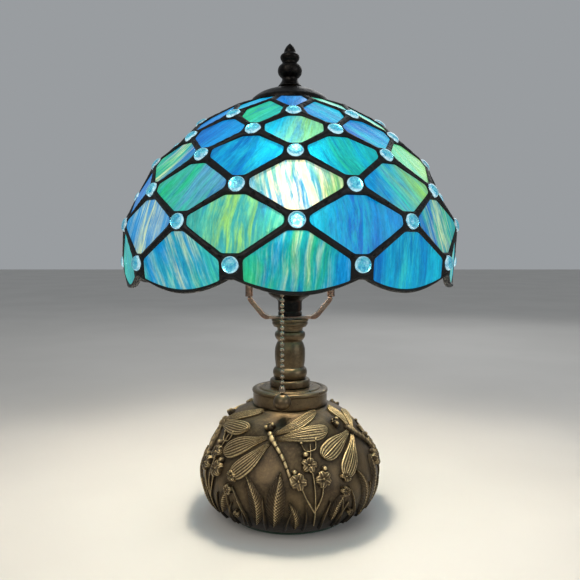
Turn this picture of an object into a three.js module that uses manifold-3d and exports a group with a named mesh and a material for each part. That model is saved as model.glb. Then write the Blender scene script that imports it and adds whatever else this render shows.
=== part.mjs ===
// A stained glass table lamp: a cast vase-shaped base, a turned stem, a pull-chain lamp holder with
// its bulb, a harp on a saddle, and a ten-sided domed shade of flat panes and round jewels.
// Millimetres, +Z up. The origin is the centre of the underside, and -Y is the front, where the
// pull chain hangs.
import * as THREE from "three";
import { mergeVertices } from "three/addons/utils/BufferGeometryUtils.js";
import Module from "manifold-3d";

// ---------- driving dimensions ----------
const GAP = 0.3; // between pieces that rest on each other

// Shade: ten panes to a row, neighbouring rows turned half a step.
const PANES = 10;
const STEP = (2 * Math.PI) / PANES;
const SHADE_TURN = THREE.MathUtils.degToRad(1.9); // how far the shade is turned on its stud
// Radius and height of each ring of jewels, from the rim up; the last ring is bare solder joints.
const RINGS = [
  [125.4, 195.6],
  [122.0, 221.7],
  [114.0, 243.3],
  [99.8, 264.3],
  [84.4, 280.5],
  [67.3, 294.7],
  [46.0, 306.2],
];
const SHADE_TOP = [27.6, 313.0]; // upper edge of the top row of panes, under the cap
const SCALLOP_LOW = [119.7, 179.6]; // lowest point of each bottom pane
const RIM_VALLEY = [124.6, 188.7]; // the rim below each lowest jewel
const PANE_THICK = 3.0;
const JEWEL_R = 5.2;
const JEWEL_STAND = 3.4; // from the middle of the glass to the jewel's crown
const JOINT_R = 1.6; // half the height of a bare solder joint
const LEAD_HALF = 1.5; // half the width of a solder line
const LEAD_THICK = 4.4;
const LEAD_GAP = 0.6; // between the solder and the glass beside it
const RIM_HALF = 0.85;
const RIM_STEPS = 6; // straight lengths of rim came on each scallop

// Vase cap, stud and finial.
const CAP_R = 29.7;
const CAP_EDGE_Z = 314.3;
const CAP_HUB_Z = 325.2; // top of the cap's flat hub
const CAP_SHEET = 1.0;
const STUD_R = 3.15;
const STUD_TOP_Z = 338;
const FINIAL_BORE_TOP_Z = 341;
const WASHER_Z = CAP_HUB_Z + GAP;
const WASHER_THICK = 1.0;
const FINIAL_Z = WASHER_Z + WASHER_THICK + GAP;
const FINIAL_TIP_Z = 359.4;

// Base.
const FELT_R = 46;
const FELT_THICK = 1.5;
const BASE_FOOT_Z = FELT_THICK + GAP;
const BASE_TOP_Z = 85.4;
const PLATE_R = 39.7;
const PLATE_Z = 7.0;
const PLATE_THICK = 1.6;
const GROMMET_Z = 28;
const GROMMET_BORE_R = 3.2;
const COLLAR_R = 29.3;
const COLLAR_Z = BASE_TOP_Z + GAP;
const COLLAR_TOP_Z = 98.6;

// Stem.
const ROD_R = 4.9;
const ROD_BORE_R = 3.6;
const ROD_HOLE_R = ROD_R + GAP;
const FOOT_RING_Z = COLLAR_TOP_Z + GAP;
const FOOT_RING_TOP_Z = 104.7;
const STEM_Z = FOOT_RING_TOP_Z + GAP;
const STEM_TOP_Z = 145.0;
const TOP_PLATE_Z = STEM_TOP_Z + GAP;
const TOP_PLATE_TOP_Z = 151.1;

// Saddle and harp, which lie in the XZ plane.
const SADDLE_Z = TOP_PLATE_TOP_Z + GAP;
const SADDLE_THICK = 2.0;
const SADDLE_HALF = 19.3; // half the flat of the saddle
const SADDLE_WIDTH = 11;
const ARM_X = 31.6; // where the arms turn straight up
const ARM_Z = 167.0;
const ARM_TOP_Z = 177.0;
const TAB_WIDTH = 3.6;
const TAB_THICK = 1.6;
const HARP_WIRE_R = 1.5;
const HARP_HALF = 48; // widest half-width of the harp
const HARP_TOP_Z = 320.4;
const SLEEVE_IN_R = 2.4;
const SLEEVE_OUT_R = 3.0;
const SLEEVE_LENGTH = 14;

// Lamp holder and bulb.
const SOCKET_Z = SADDLE_Z + SADDLE_THICK + GAP;
const SOCKET_NECK_R = 9.2;
const SOCKET_NECK_TOP_Z = 164.8;
const SHELL_R = 17.0;
const SHELL_Z = 172.4;
const SHELL_TOP_Z = 207;
const SHELL_SHEET = 0.8;
const SWITCH_BODY_TOP_Z = 185;
const BULB_BASE_R = 13.1;
const BULB_BASE_Z = 188.2;
const BULB_NECK_Z = 210;
const BULB_R = 24;
const BULB_CENTRE_Z = 248;

// Pull chain.
const CHAIN_X = -5.6;
const CHAIN_Y = -37.6;
const BEAD_R = 1.6;
const BEAD_PITCH = 3.94;
const CHAIN_PIVOT_Z = 160.4; // centre of the first free bead
const CHAIN_BEADS = 13; // beads below the pivot bead
const BALL_R = 6.4;
const BALL_Z = 94.6;
const PULLER_BEADS = 4; // beads above the pivot bead
const GUIDE_HOLE_Z = 178; // axis of the chain guide's hole in the shell
const GUIDE_MOUTH_Z = 173.1; // lower edge of the guide's mouth
const GUIDE_MOUTH_TALL = 6.4;
const GUIDE_R = 3.4;

const SEGMENTS = 24;

// ---------- materials ----------
function material(color, roughness, metalness) {
  return new THREE.MeshStandardMaterial({ color, roughness, metalness });
}
const bronze = material(0x4a3c2c, 0.5, 0.7);
const darkMetal = material(0x12100f, 0.45, 0.6);
const pinkBronze = material(0x6b5147, 0.4, 0.8);
const brass = material(0xb08a45, 0.35, 1);
const steel = material(0x9a9a96, 0.4, 1);
const felt = material(0x14251c, 0.95, 0);
const rubber = material(0x17130f, 0.8, 0);
const phenolic = material(0x0d0d0e, 0.5, 0);
const card = material(0xbca983, 0.9, 0);
const clearGlass = material(0xf7f2e4, 0.1, 0);
const solder = material(0x0b0c0e, 0.35, 0.6);
const glassTints = [0x2f93a8, 0x2f78c4, 0x39a58e, 0x2b6fc9, 0x3d9fb0, 0x2c66be, 0x3a86c8];

// ---------- helpers ----------
const lamp = new THREE.Group();

function add(name, geometry, mat) {
  const mesh = new THREE.Mesh(geometry, mat);
  mesh.name = name;
  lamp.add(mesh);
  return mesh;
}

// A closed [radius, height] outline turned about the vertical axis.
function turned(outline, segments = SEGMENTS) {
  const points = outline.map(([r, z]) => new THREE.Vector2(r, z));
  if (outline[0][0] > 0) points.push(points[0].clone());
  let area = 0;
  for (let i = 0; i < points.length; i++) {
    const a = points[i];
    const b = points[(i + 1) % points.length];
    area += a.x * b.y - b.x * a.y;
  }
  if (area < 0) points.reverse();
  return new THREE.LatheGeometry(points, segments).rotateX(Math.PI / 2);
}

// Points of a round stretch of outline about [r, z], from angle a to angle b in degrees.
function arc(r, z, radius, a, b, steps) {
  return Array.from({ length: steps + 1 }, (_, i) => {
    const t = THREE.MathUtils.degToRad(a + ((b - a) * i) / steps);
    return [r + radius * Math.cos(t), z + radius * Math.sin(t)];
  });
}

function ring(inner, outer, low, high, segments = SEGMENTS) {
  return turned([[inner, low], [outer, low], [outer, high], [inner, high]], segments);
}

const wasm = await Module();
wasm.setup();

function solid(geometry) {
  const bare = geometry.index ? geometry.toNonIndexed() : geometry.clone();
  bare.deleteAttribute("normal");
  bare.deleteAttribute("uv");
  const merged = mergeVertices(bare, 1e-4);
  return new wasm.Manifold(
    new wasm.Mesh({
      numProp: 3,
      vertProperties: new Float32Array(merged.attributes.position.array),
      triVerts: new Uint32Array(merged.index.array),
    }),
  );
}

function geometryOf(body) {
  const mesh = body.getMesh();
  const geometry = new THREE.BufferGeometry();
  geometry.setAttribute("position", new THREE.BufferAttribute(mesh.vertProperties, 3));
  geometry.setIndex(new THREE.BufferAttribute(mesh.triVerts, 1));
  return geometry;
}

const joined = (...parts) => geometryOf(parts.map(solid).reduce((a, b) => a.add(b)));
const cut = (body, ...tools) => geometryOf(tools.map(solid).reduce((a, b) => a.subtract(b), solid(body)));

// A round bar along a path.
function bar(points, radius, steps, sides = 8) {
  const path = new THREE.CatmullRomCurve3(points.map((p) => new THREE.Vector3(...p)));
  const section = new THREE.Shape();
  for (let i = 0; i < sides; i++) {
    const t = (2 * Math.PI * i) / sides;
    const move = i ? "lineTo" : "moveTo";
    section[move](radius * Math.cos(t), radius * Math.sin(t));
  }
  return new THREE.ExtrudeGeometry(section, { steps, bevelEnabled: false, extrudePath: path });
}

function hexagon(radius, bore, low, high) {
  const outline = new THREE.Shape();
  for (let i = 0; i < 6; i++) {
    const t = (Math.PI * i) / 3;
    outline[i ? "lineTo" : "moveTo"](radius * Math.cos(t), radius * Math.sin(t));
  }
  outline.holes.push(new THREE.Path().absarc(0, 0, bore, 0, 2 * Math.PI, true));
  const options = { depth: high - low, bevelEnabled: false, curveSegments: 10 };
  return new THREE.ExtrudeGeometry(outline, options).translate(0, 0, low);
}

// ---------- base ----------
// Outer outline of the cast body from its foot up to the shoulder, then in to the collar.
const BODY_OUTLINE = [
  [47.5, BASE_FOOT_Z],
  [53.2, 4.4],
  [59.1, 9.1],
  [63.4, 13.9],
  [66.5, 19.6],
  [68.8, 27.6],
  [69.5, 37.2],
  [68.0, 44.5],
  [64.6, 51.5],
  [54.6, 67.0],
  [50.0, 74.0],
  [45.2, 78.6],
  [40.0, 81.6],
  [34.5, 83.6],
  [31.0, BASE_TOP_Z],
];
const BODY_CAVITY = [
  [PLATE_R - 3, PLATE_Z + PLATE_THICK + GAP],
  [55.0, 12.2],
  [60.5, 16.4],
  [63.2, 21.0],
  [65.4, 28.2],
  [65.9, 37.0],
  [64.6, 43.3],
  [61.5, 49.7],
  [51.6, 65.0],
  [47.2, 71.7],
  [43.0, 75.7],
  [36.0, 79.3],
  [28.0, 81.8],
  [ROD_HOLE_R, 81.8],
];
const body = turned(
  [
    ...BODY_OUTLINE,
    [ROD_HOLE_R, BASE_TOP_Z],
    ...BODY_CAVITY.toReversed(),
    [PLATE_R + GAP, PLATE_Z + PLATE_THICK + GAP],
    [PLATE_R + GAP, BASE_FOOT_Z],
  ],
  32,
);
const cordHole = new THREE.CylinderGeometry(5.2, 5.2, 30, 16).translate(0, 65, GROMMET_Z);
add("base_body", cut(body, cordHole), bronze);
add("felt_pad", ring(0, FELT_R, 0, FELT_THICK, 32), felt);
add("bottom_plate", ring(ROD_HOLE_R, PLATE_R, PLATE_Z, PLATE_Z + PLATE_THICK, 32), steel);
const NUT_Z = BASE_FOOT_Z + GAP;
add("rod_nut", hexagon(8, ROD_HOLE_R, NUT_Z, NUT_Z + 3.2), steel);
const ROD_WASHER_Z = NUT_Z + 3.2 + GAP;
add("rod_washer", ring(ROD_HOLE_R, 9.5, ROD_WASHER_Z, PLATE_Z - GAP, 20), steel);
add("lamp_rod", ring(ROD_BORE_R, ROD_R, NUT_Z, 160, 16), steel);

// The grommet lies along Y in the cord hole: a flange outside, a tube, and a lip inside.
const GROMMET_OUTLINE = [
  [GROMMET_BORE_R, 60.6],
  [6.4, 60.6],
  [6.4, 62.4],
  [4.8, 63.4],
  [4.8, 69.9],
  [7.6, 69.9],
  [7.6, 71.2],
  [6.4, 72.2],
  [GROMMET_BORE_R, 72.2],
];
// Turned about Z, then laid along +Y at the back of the base.
add("cord_grommet", turned(GROMMET_OUTLINE, 16).rotateX(-Math.PI / 2).translate(0, 0, GROMMET_Z), rubber);

add(
  "neck_collar",
  turned(
    [
      [ROD_HOLE_R, COLLAR_TOP_Z],
      [23.4, COLLAR_TOP_Z],
      [24.0, COLLAR_TOP_Z - 0.9],
      [28.0, COLLAR_TOP_Z - 0.9],
      [COLLAR_R, COLLAR_TOP_Z - 2.2],
      [COLLAR_R - 0.6, COLLAR_TOP_Z - 3.6],
      [COLLAR_R - 0.6, COLLAR_Z],
      [COLLAR_R - 3.2, COLLAR_Z],
      [COLLAR_R - 3.2, COLLAR_TOP_Z - 3.6],
      [ROD_HOLE_R, COLLAR_TOP_Z - 3.6],
    ],
    24,
  ),
  bronze,
);

// ---------- stem ----------
add(
  "stem_foot_ring",
  turned([
    [ROD_HOLE_R, FOOT_RING_Z],
    [15.2, FOOT_RING_Z],
    [15.5, FOOT_RING_Z + 0.6],
    [15.5, FOOT_RING_TOP_Z - 0.8],
    [14.7, FOOT_RING_TOP_Z],
    [ROD_HOLE_R, FOOT_RING_TOP_Z],
  ]),
  bronze,
);
add(
  "stem_body",
  turned([
    [ROD_HOLE_R, STEM_Z],
    [11.6, STEM_Z],
    [12.2, STEM_Z + 1.2],
    [13.1, 108.6],
    [13.3, 110.6],
    [12.4, 112.8],
    [11.2, 114.1],
    [11.5, 118.0],
    [11.9, 124.0],
    [11.4, 129.5],
    [9.8, 133.4],
    [9.7, 134.4],
    [11.4, 136.6],
    [11.9, 139.0],
    [11.2, 141.2],
    [10.3, 142.2],
    [10.4, STEM_TOP_Z],
    [ROD_HOLE_R, STEM_TOP_Z],
  ]),
  bronze,
);
add(
  "stem_top_plate",
  turned([
    [ROD_HOLE_R, TOP_PLATE_Z],
    [11.8, TOP_PLATE_Z],
    [13.4, TOP_PLATE_Z + 1.0],
    [14.2, TOP_PLATE_Z + 2.0],
    [14.2, TOP_PLATE_TOP_Z - 1.4],
    [13.2, TOP_PLATE_TOP_Z],
    [ROD_HOLE_R, TOP_PLATE_TOP_Z],
  ]),
  bronze,
);

// ---------- saddle, harp and sleeves ----------
// The saddle is one bent strip: its edge outline in XZ, then its width along Y.
function saddleOutline() {
  const t = SADDLE_THICK;
  const half = [
    [SADDLE_HALF, SADDLE_Z],
    [ARM_X + t / 2, ARM_Z - 0.8],
    [ARM_X + t / 2, ARM_Z + 1.0],
    [ARM_X + TAB_THICK / 2, ARM_Z + 1.0],
    [ARM_X + TAB_THICK / 2, ARM_TOP_Z],
    [ARM_X - TAB_THICK / 2, ARM_TOP_Z],
    [ARM_X - TAB_THICK / 2, ARM_Z + 1.0],
    [ARM_X - t / 2, ARM_Z + 1.0],
    [ARM_X - t / 2, ARM_Z],
    [SADDLE_HALF - 0.8, SADDLE_Z + t],
  ];
  const mirrored = half.toReversed().map(([x, z]) => [-x, z]);
  return new THREE.Shape([...half, ...mirrored].map(([x, z]) => new THREE.Vector2(x, z)));
}
const strip = new THREE.ExtrudeGeometry(saddleOutline(), { depth: SADDLE_WIDTH, bevelEnabled: false })
  .rotateX(Math.PI / 2)
  .translate(0, SADDLE_WIDTH / 2, 0);
const saddleHole = new THREE.CylinderGeometry(ROD_HOLE_R, ROD_HOLE_R, 9, 16)
  .rotateX(Math.PI / 2)
  .translate(0, 0, SADDLE_Z + 1);
// The tabs at the ends of the arms are narrower than the strip, to fit in the sleeves.
const TRIM = (SADDLE_WIDTH - TAB_WIDTH) / 2;
const tabTrims = [-1, 1].flatMap((side) =>
  [-1, 1].map((edge) =>
    new THREE.BoxGeometry(6, TRIM + 1, 30).translate(
      side * ARM_X,
      (edge * (TAB_WIDTH + TRIM + 1)) / 2,
      ARM_Z + 0.9 + 15,
    ),
  ),
);
add("harp_saddle", cut(strip, saddleHole, ...tabTrims), pinkBronze);

const HARP_LEG = [
  [ARM_X, ARM_TOP_Z + GAP],
  [ARM_X, ARM_TOP_Z + 12],
  [ARM_X + 0.4, ARM_TOP_Z + 21],
  [40.5, 212],
  [HARP_HALF - 1, 230],
  [HARP_HALF, 250],
  [45.6, 270],
  [38.5, 288],
  [27.0, 303],
  [15.0, 314.5],
  [7.5, HARP_TOP_Z - 0.6],
];
const harpPath = [
  ...HARP_LEG.map(([x, z]) => [-x, 0, z]),
  [0, 0, HARP_TOP_Z],
  ...HARP_LEG.toReversed().map(([x, z]) => [x, 0, z]),
];
add("harp_wire", bar(harpPath, HARP_WIRE_R, 46, 6), pinkBronze);

for (const [name, side] of [["harp_sleeve_left", -1], ["harp_sleeve_right", 1]]) {
  const sleeve = ring(SLEEVE_IN_R, SLEEVE_OUT_R, 0, SLEEVE_LENGTH, 12);
  add(name, sleeve, pinkBronze).position.set(side * ARM_X, 0, ARM_Z + 1.0 + GAP);
}

add(
  "harp_stud",
  turned(
    [
      [0, HARP_TOP_Z + HARP_WIRE_R + GAP],
      [6.6, HARP_TOP_Z + HARP_WIRE_R + GAP],
      [6.6, CAP_HUB_Z - CAP_SHEET - GAP],
      [STUD_R, CAP_HUB_Z - CAP_SHEET - GAP],
      [STUD_R, STUD_TOP_Z - 0.8],
      [STUD_R - 0.8, STUD_TOP_Z],
      [0, STUD_TOP_Z],
    ],
    16,
  ),
  brass,
);

// ---------- lamp holder ----------
add(
  "socket_cap",
  turned([
    [ROD_HOLE_R, SOCKET_Z],
    [SOCKET_NECK_R, SOCKET_Z],
    [SOCKET_NECK_R, SOCKET_NECK_TOP_Z],
    [10.4, 166.2],
    [15.0, 169.0],
    [SHELL_R, SHELL_Z - GAP],
    [SHELL_R - 1, SHELL_Z - GAP],
    [14.2, 170.2],
    [9.4, 167.2],
    [ROD_HOLE_R, 166.0],
  ]),
  darkMetal,
);
const SWITCH_BODY_Z = SHELL_Z + GAP;
const shell = ring(SHELL_R - SHELL_SHEET, SHELL_R, SHELL_Z, SHELL_TOP_Z);
const chainHole = new THREE.CylinderGeometry(GUIDE_R + GAP, GUIDE_R + GAP, 12, 16).translate(0, -17, GUIDE_HOLE_Z);
add("socket_shell", cut(shell, chainHole), darkMetal);
const CARD_R = SHELL_R - SHELL_SHEET - GAP;
const cardTube = ring(CARD_R - 0.6, CARD_R, SHELL_Z + 1, SHELL_TOP_Z - 1);
add("insulating_sleeve", cut(cardTube, chainHole), card);

// The switch housing has a well for the ratchet cam, open at its underside, and a hole for the arm.
const HOUSING_R = CARD_R - 0.6 - GAP;
const housing = ring(0, HOUSING_R, SWITCH_BODY_Z, SWITCH_BODY_TOP_Z);
const camWell = new THREE.BoxGeometry(13, 13, 10.4).translate(0, 0, SWITCH_BODY_Z + 5.1);
const armSlot = new THREE.BoxGeometry(5.2, 14, 10.4).translate(0, -11, SWITCH_BODY_Z + 5.1);
const screwNotches = [-1, 1].map((side) =>
  new THREE.BoxGeometry(4, 9, 9).translate(side * (HOUSING_R - 0.6), 0, SWITCH_BODY_TOP_Z - 4.2),
);
add("switch_housing", cut(housing, camWell, armSlot, ...screwNotches), phenolic);
const CAM_Z = SWITCH_BODY_Z + 4.6;
const cam = new THREE.CylinderGeometry(3.6, 3.6, 6, 8).rotateZ(Math.PI / 2).translate(0, 0, CAM_Z);
const camTooth = new THREE.BoxGeometry(4, 2, 8.4).translate(0, 0, CAM_Z);
add("switch_cam", joined(cam, camTooth), brass);
for (const [name, side, mat] of [["terminal_screw_left", -1, brass], ["terminal_screw_right", 1, steel]]) {
  const head = new THREE.CylinderGeometry(2.6, 2.6, 1.3, 12).rotateZ(Math.PI / 2);
  add(name, head, mat).position.set(side * (HOUSING_R - 1.5), 0, SWITCH_BODY_TOP_Z - 4.2);
}
const THREAD_R = BULB_BASE_R + 0.35;
add(
  "screw_shell",
  turned([
    [THREAD_R + 0.5, SWITCH_BODY_TOP_Z + GAP],
    [THREAD_R + 0.5, SHELL_TOP_Z - 2],
    [THREAD_R, SHELL_TOP_Z - 2],
    [THREAD_R, SWITCH_BODY_TOP_Z + GAP + 0.6],
    [5.5, SWITCH_BODY_TOP_Z + GAP + 0.6],
    [5.5, SWITCH_BODY_TOP_Z + GAP],
  ]),
  brass,
);
add("centre_contact", ring(0, 4.2, SWITCH_BODY_TOP_Z + GAP, SWITCH_BODY_TOP_Z + 1.5, 12), brass);

// The chain guide: a gooseneck out of the shell, turned down into a mouth, with the chain's way through it.
const guideOuter = bar(
  [
    [0, -18.2, GUIDE_HOLE_Z],
    [-0.5, -22, GUIDE_HOLE_Z + 0.8],
    [-2.2, -29, GUIDE_HOLE_Z + 3.2],
    [-4.2, -34.6, GUIDE_HOLE_Z + 2.9],
    [CHAIN_X, CHAIN_Y, GUIDE_MOUTH_Z + 4.4],
  ],
  2.5,
  8,
  8,
);
const guideMouth = new THREE.CylinderGeometry(2.6, GUIDE_R + 0.6, GUIDE_MOUTH_TALL, 12)
  .rotateX(Math.PI / 2)
  .translate(CHAIN_X, CHAIN_Y, GUIDE_MOUTH_Z + GUIDE_MOUTH_TALL / 2);
const guideBore = new THREE.CylinderGeometry(2.1, 2.1, 12, 10)
  .rotateX(Math.PI / 2)
  .translate(CHAIN_X, CHAIN_Y, GUIDE_MOUTH_Z + 3.0);
add("chain_guide", cut(joined(guideOuter, guideMouth), guideBore), darkMetal);

// ---------- pull chain ----------
// Beads on a thin wire, turned about the chain's own axis from the top down.
function beadRun(first, count, top, bottom) {
  const outline = [[0, top], [0.5, top]];
  for (let i = 0; i < count; i++) {
    const z = first - i * BEAD_PITCH;
    outline.push([0.5, z + 1.45], [BEAD_R, z], [0.5, z - 1.45]);
  }
  outline.push([0.5, bottom], [0, bottom]);
  return turned(outline.toReversed(), 6);
}
const onChain = (geometry) => geometry.translate(CHAIN_X, CHAIN_Y, 0);
const PULLER_BOTTOM = CHAIN_PIVOT_Z + BEAD_R + GAP;
add(
  "chain_puller",
  onChain(
    beadRun(
      CHAIN_PIVOT_Z + PULLER_BEADS * BEAD_PITCH,
      PULLER_BEADS,
      GUIDE_MOUTH_Z + GUIDE_MOUTH_TALL,
      PULLER_BOTTOM,
    ),
  ),
  brass,
);
add(
  "chain_pivot_bead",
  onChain(turned(arc(0, CHAIN_PIVOT_Z, BEAD_R, -90, 90, 6), 8)),
  brass,
);
const CONNECTOR_TOP = CHAIN_PIVOT_Z - (CHAIN_BEADS + 0.55) * BEAD_PITCH;
add(
  "pull_chain",
  onChain(
    beadRun(
      CHAIN_PIVOT_Z - BEAD_PITCH,
      CHAIN_BEADS,
      CHAIN_PIVOT_Z - BEAD_R - GAP,
      CONNECTOR_TOP + GAP,
    ),
  ),
  brass,
);
const BALL_TOP = BALL_Z + BALL_R;
add(
  "chain_connector",
  onChain(
    turned(
      [
        [0, CONNECTOR_TOP],
        [1.1, CONNECTOR_TOP],
        [2.2, CONNECTOR_TOP - 1.6],
        [2.4, BALL_TOP + GAP + 0.4],
        [1.6, BALL_TOP + GAP],
        [0, BALL_TOP + GAP],
      ],
      10,
    ),
  ),
  brass,
);
add("pull_ball", onChain(turned(arc(0, BALL_Z, BALL_R, -90, 90, 9), 14)), bronze);

// ---------- bulb ----------
add(
  "bulb_glass",
  turned([
    [11.0, BULB_NECK_Z + GAP],
    [12.2, 216],
    [15.4, 224],
    ...arc(0, BULB_CENTRE_Z, BULB_R, -38, 90, 6).slice(0, -1),
    [0, BULB_CENTRE_Z + BULB_R],
    [0, BULB_CENTRE_Z + BULB_R - 0.8],
    ...arc(0, BULB_CENTRE_Z, BULB_R - 0.8, 90, -38, 6).slice(1),
    [14.6, 224.3],
    [11.4, 216],
    [10.2, BULB_NECK_Z + GAP],
  ].toReversed(), 16),
  clearGlass,
);
add(
  "bulb_screw_base",
  turned([
    [5.0, BULB_BASE_Z],
    [9.6, BULB_BASE_Z + 0.4],
    [BULB_BASE_R - 0.8, BULB_BASE_Z + 3.2],
    [BULB_BASE_R, BULB_BASE_Z + 4.4],
    [BULB_BASE_R, SHELL_TOP_Z - 1.4],
    [BULB_BASE_R - 0.4, BULB_NECK_Z],
    [BULB_BASE_R - 4.2, BULB_NECK_Z],
    [BULB_BASE_R - 4.2, BULB_BASE_Z + 3.2],
    [5.0, BULB_BASE_Z + 2.0],
  ]),
  steel,
);
add("bulb_eyelet", ring(0, 4.6, SWITCH_BODY_TOP_Z + 1.9, BULB_BASE_Z + 1.2, 12), solder);
add(
  "bulb_filament_mount",
  turned([
    [0, BULB_BASE_Z + 2.4],
    [4.0, BULB_BASE_Z + 2.4],
    [4.0, 226],
    [1.6, 231],
    [1.6, 240],
    [7.5, 245],
    [7.5, 250],
    [0, 250],
  ], 10),
  clearGlass,
);

// ---------- shade ----------
const Z_AXIS = new THREE.Vector3(0, 0, 1);

// A point of the shade at a radius, a height and an azimuth counted from the front.
function place([radius, height], azimuth) {
  return new THREE.Vector3(radius * Math.sin(azimuth), -radius * Math.cos(azimuth), height);
}

// The slope of the dome at ring k: the unit vector up the meridian at an azimuth.
function upMeridian(k, azimuth) {
  const below = k > 0 ? RINGS[k - 1] : RIM_VALLEY;
  const above = k < RINGS.length - 1 ? RINGS[k + 1] : SHADE_TOP;
  return place(above, azimuth).sub(place(below, azimuth)).normalize();
}

function outward(k, azimuth) {
  const across = new THREE.Vector3(Math.cos(azimuth), Math.sin(azimuth), 0);
  return across.cross(upMeridian(k, azimuth)).normalize();
}

// Even rings stand half a step off the front meridian, odd rings on it.
const ringAzimuth = (k, j) => SHADE_TURN + (j + (k % 2 ? 0 : 0.5)) * STEP;

// Half the height of a solder line, measured up the meridian, between ring k and the ring above.
function leadRise(k) {
  const low = place(RINGS[k], 0);
  const high = place(RINGS[k + 1], STEP / 2);
  const climb = Math.atan2(
    Math.hypot(RINGS[k + 1][0] - RINGS[k][0], RINGS[k + 1][1] - RINGS[k][1]),
    Math.abs(high.x - low.x),
  );
  return LEAD_HALF / Math.cos(climb);
}

// How far the middle of a solder line passes above or below a jewel's centre.
const jewelRadius = (k) => (k === RINGS.length - 1 ? JOINT_R : JEWEL_R);
const clearOf = (k, rise) => jewelRadius(k) + LEAD_GAP + rise;

// A jewel stands out of the row on its outer side; its back is inside the row's thickness.
function jewel(k, azimuth) {
  const up = upMeridian(k, azimuth);
  const out = outward(k, azimuth);
  const across = new THREE.Vector3().crossVectors(up, out);
  const frame = new THREE.Matrix4().makeBasis(across, out, up.clone().negate());
  frame.setPosition(place(RINGS[k], azimuth).addScaledVector(out, JEWEL_STAND / 2));
  return new THREE.CylinderGeometry(JEWEL_R * 0.6, JEWEL_R * 0.96, JEWEL_STAND, 6).applyMatrix4(frame);
}

// A corner of a pane: on ring k's meridian at an azimuth, a distance up from the ring.
function corner(k, azimuth, rise) {
  const at = place(RINGS[k], azimuth).addScaledVector(upMeridian(k, azimuth), rise);
  return { at, out: outward(k, azimuth) };
}

// The scalloped lower edge of a bottom pane, from the left corner to the right one, ends left out.
function scallop(azimuth, drop = 0) {
  const left = corner(0, azimuth - STEP / 2, -JEWEL_R).at;
  const right = corner(0, azimuth + STEP / 2, -JEWEL_R).at;
  const hang = place(SCALLOP_LOW, azimuth).sub(left.clone().add(right).divideScalar(2));
  return Array.from({ length: RIM_STEPS - 1 }, (_, i) => {
    const share = (i + 1) / RIM_STEPS;
    const depth = Math.cos((share - 0.5) * Math.PI) ** 0.85;
    const facing = azimuth + (share - 0.5) * STEP;
    const at = left.clone().lerp(right, share).addScaledVector(hang, depth);
    return { at: at.addScaledVector(Z_AXIS, -drop), out: place([1, 0], facing) };
  });
}

// Row k of panes: side corners at the jewels of ring k, top corner under ring k + 1, bottom corner
// over ring k - 1. Neighbouring panes share the short edge behind the jewel, which links the row
// into one ring.
function glassRow(k) {
  const last = RINGS.length - 1;
  const rj = k === last ? JOINT_R : JEWEL_R;
  const positions = [];
  const index = [];
  const half = PANE_THICK / 2;
  // Adds a corner's outer and inner points and returns the outer one's number; the inner follows.
  const push = ({ at, out }) => {
    for (const side of [half, -half]) {
      const p = at.clone().addScaledVector(out, side);
      positions.push(p.x, p.y, p.z);
    }
    return positions.length / 3 - 2;
  };
  const sides = Array.from({ length: PANES }, (_, j) => {
    const azimuth = ringAzimuth(k + 1, j) - STEP / 2;
    const top = { at: place(SHADE_TOP, azimuth), out: outward(k, azimuth) };
    return [push(corner(k, azimuth, -rj)), push(k === last ? top : corner(k, azimuth, rj))];
  });
  for (let j = 0; j < PANES; j++) {
    const middle = ringAzimuth(k + 1, j);
    const [lowLeft, highLeft] = sides[j];
    const [lowRight, highRight] = sides[(j + 1) % PANES];
    const lift = k > 0 ? clearOf(k - 1, leadRise(k - 1)) + leadRise(k - 1) + LEAD_GAP : 0;
    const drop = k < last ? clearOf(k + 1, leadRise(k)) + leadRise(k) + LEAD_GAP : 0;
    const below = (k > 0 ? [corner(k - 1, middle, lift)] : scallop(middle)).map(push);
    const above = (k < last ? [corner(k + 1, middle, -drop)] : []).map(push);
    const loop = [lowLeft, ...below, lowRight, highRight, ...above, highLeft];
    const flat = loop.map((v) => {
      const turnX = Math.cos(middle) * positions[3 * v] + Math.sin(middle) * positions[3 * v + 1];
      return new THREE.Vector2(turnX, positions[3 * v + 2]);
    });
    for (const face of THREE.ShapeUtils.triangulateShape(flat, [])) {
      const [a, b, c] = face.map((i) => loop[i]);
      index.push(a, b, c, a + 1, c + 1, b + 1);
    }
    loop.forEach((a, i) => {
      const b = loop[(i + 1) % loop.length];
      const shared = (a === lowRight && b === highRight) || (a === highLeft && b === lowLeft);
      if (!shared) index.push(a, a + 1, b + 1, a, b + 1, b);
    });
  }
  const row = new THREE.BufferGeometry();
  row.setAttribute("position", new THREE.Float32BufferAttribute(positions, 3));
  row.setIndex(index);
  if (k === last) return row;
  return joined(row, ...sides.map((_, j) => jewel(k, ringAzimuth(k + 1, j) - STEP / 2)));
}

// A closed band through stations, each with its middle, its half-width vector and its half-depth
// vector.
function band(stations) {
  const positions = [];
  const index = [];
  const n = stations.length;
  for (const { at, wide, deep } of stations) {
    for (const [a, b] of [[-1, -1], [1, -1], [1, 1], [-1, 1]]) {
      const corner = at.clone().addScaledVector(wide, a).addScaledVector(deep, b);
      positions.push(corner.x, corner.y, corner.z);
    }
  }
  for (let i = 0; i < n; i++) {
    const next = ((i + 1) % n) * 4;
    for (let c = 0; c < 4; c++) {
      const d = (c + 1) % 4;
      index.push(i * 4 + c, next + d, next + c, i * 4 + c, i * 4 + d, next + d);
    }
  }
  const geometry = new THREE.BufferGeometry();
  geometry.setAttribute("position", new THREE.Float32BufferAttribute(positions, 3));
  geometry.setIndex(index);
  return geometry;
}

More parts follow.
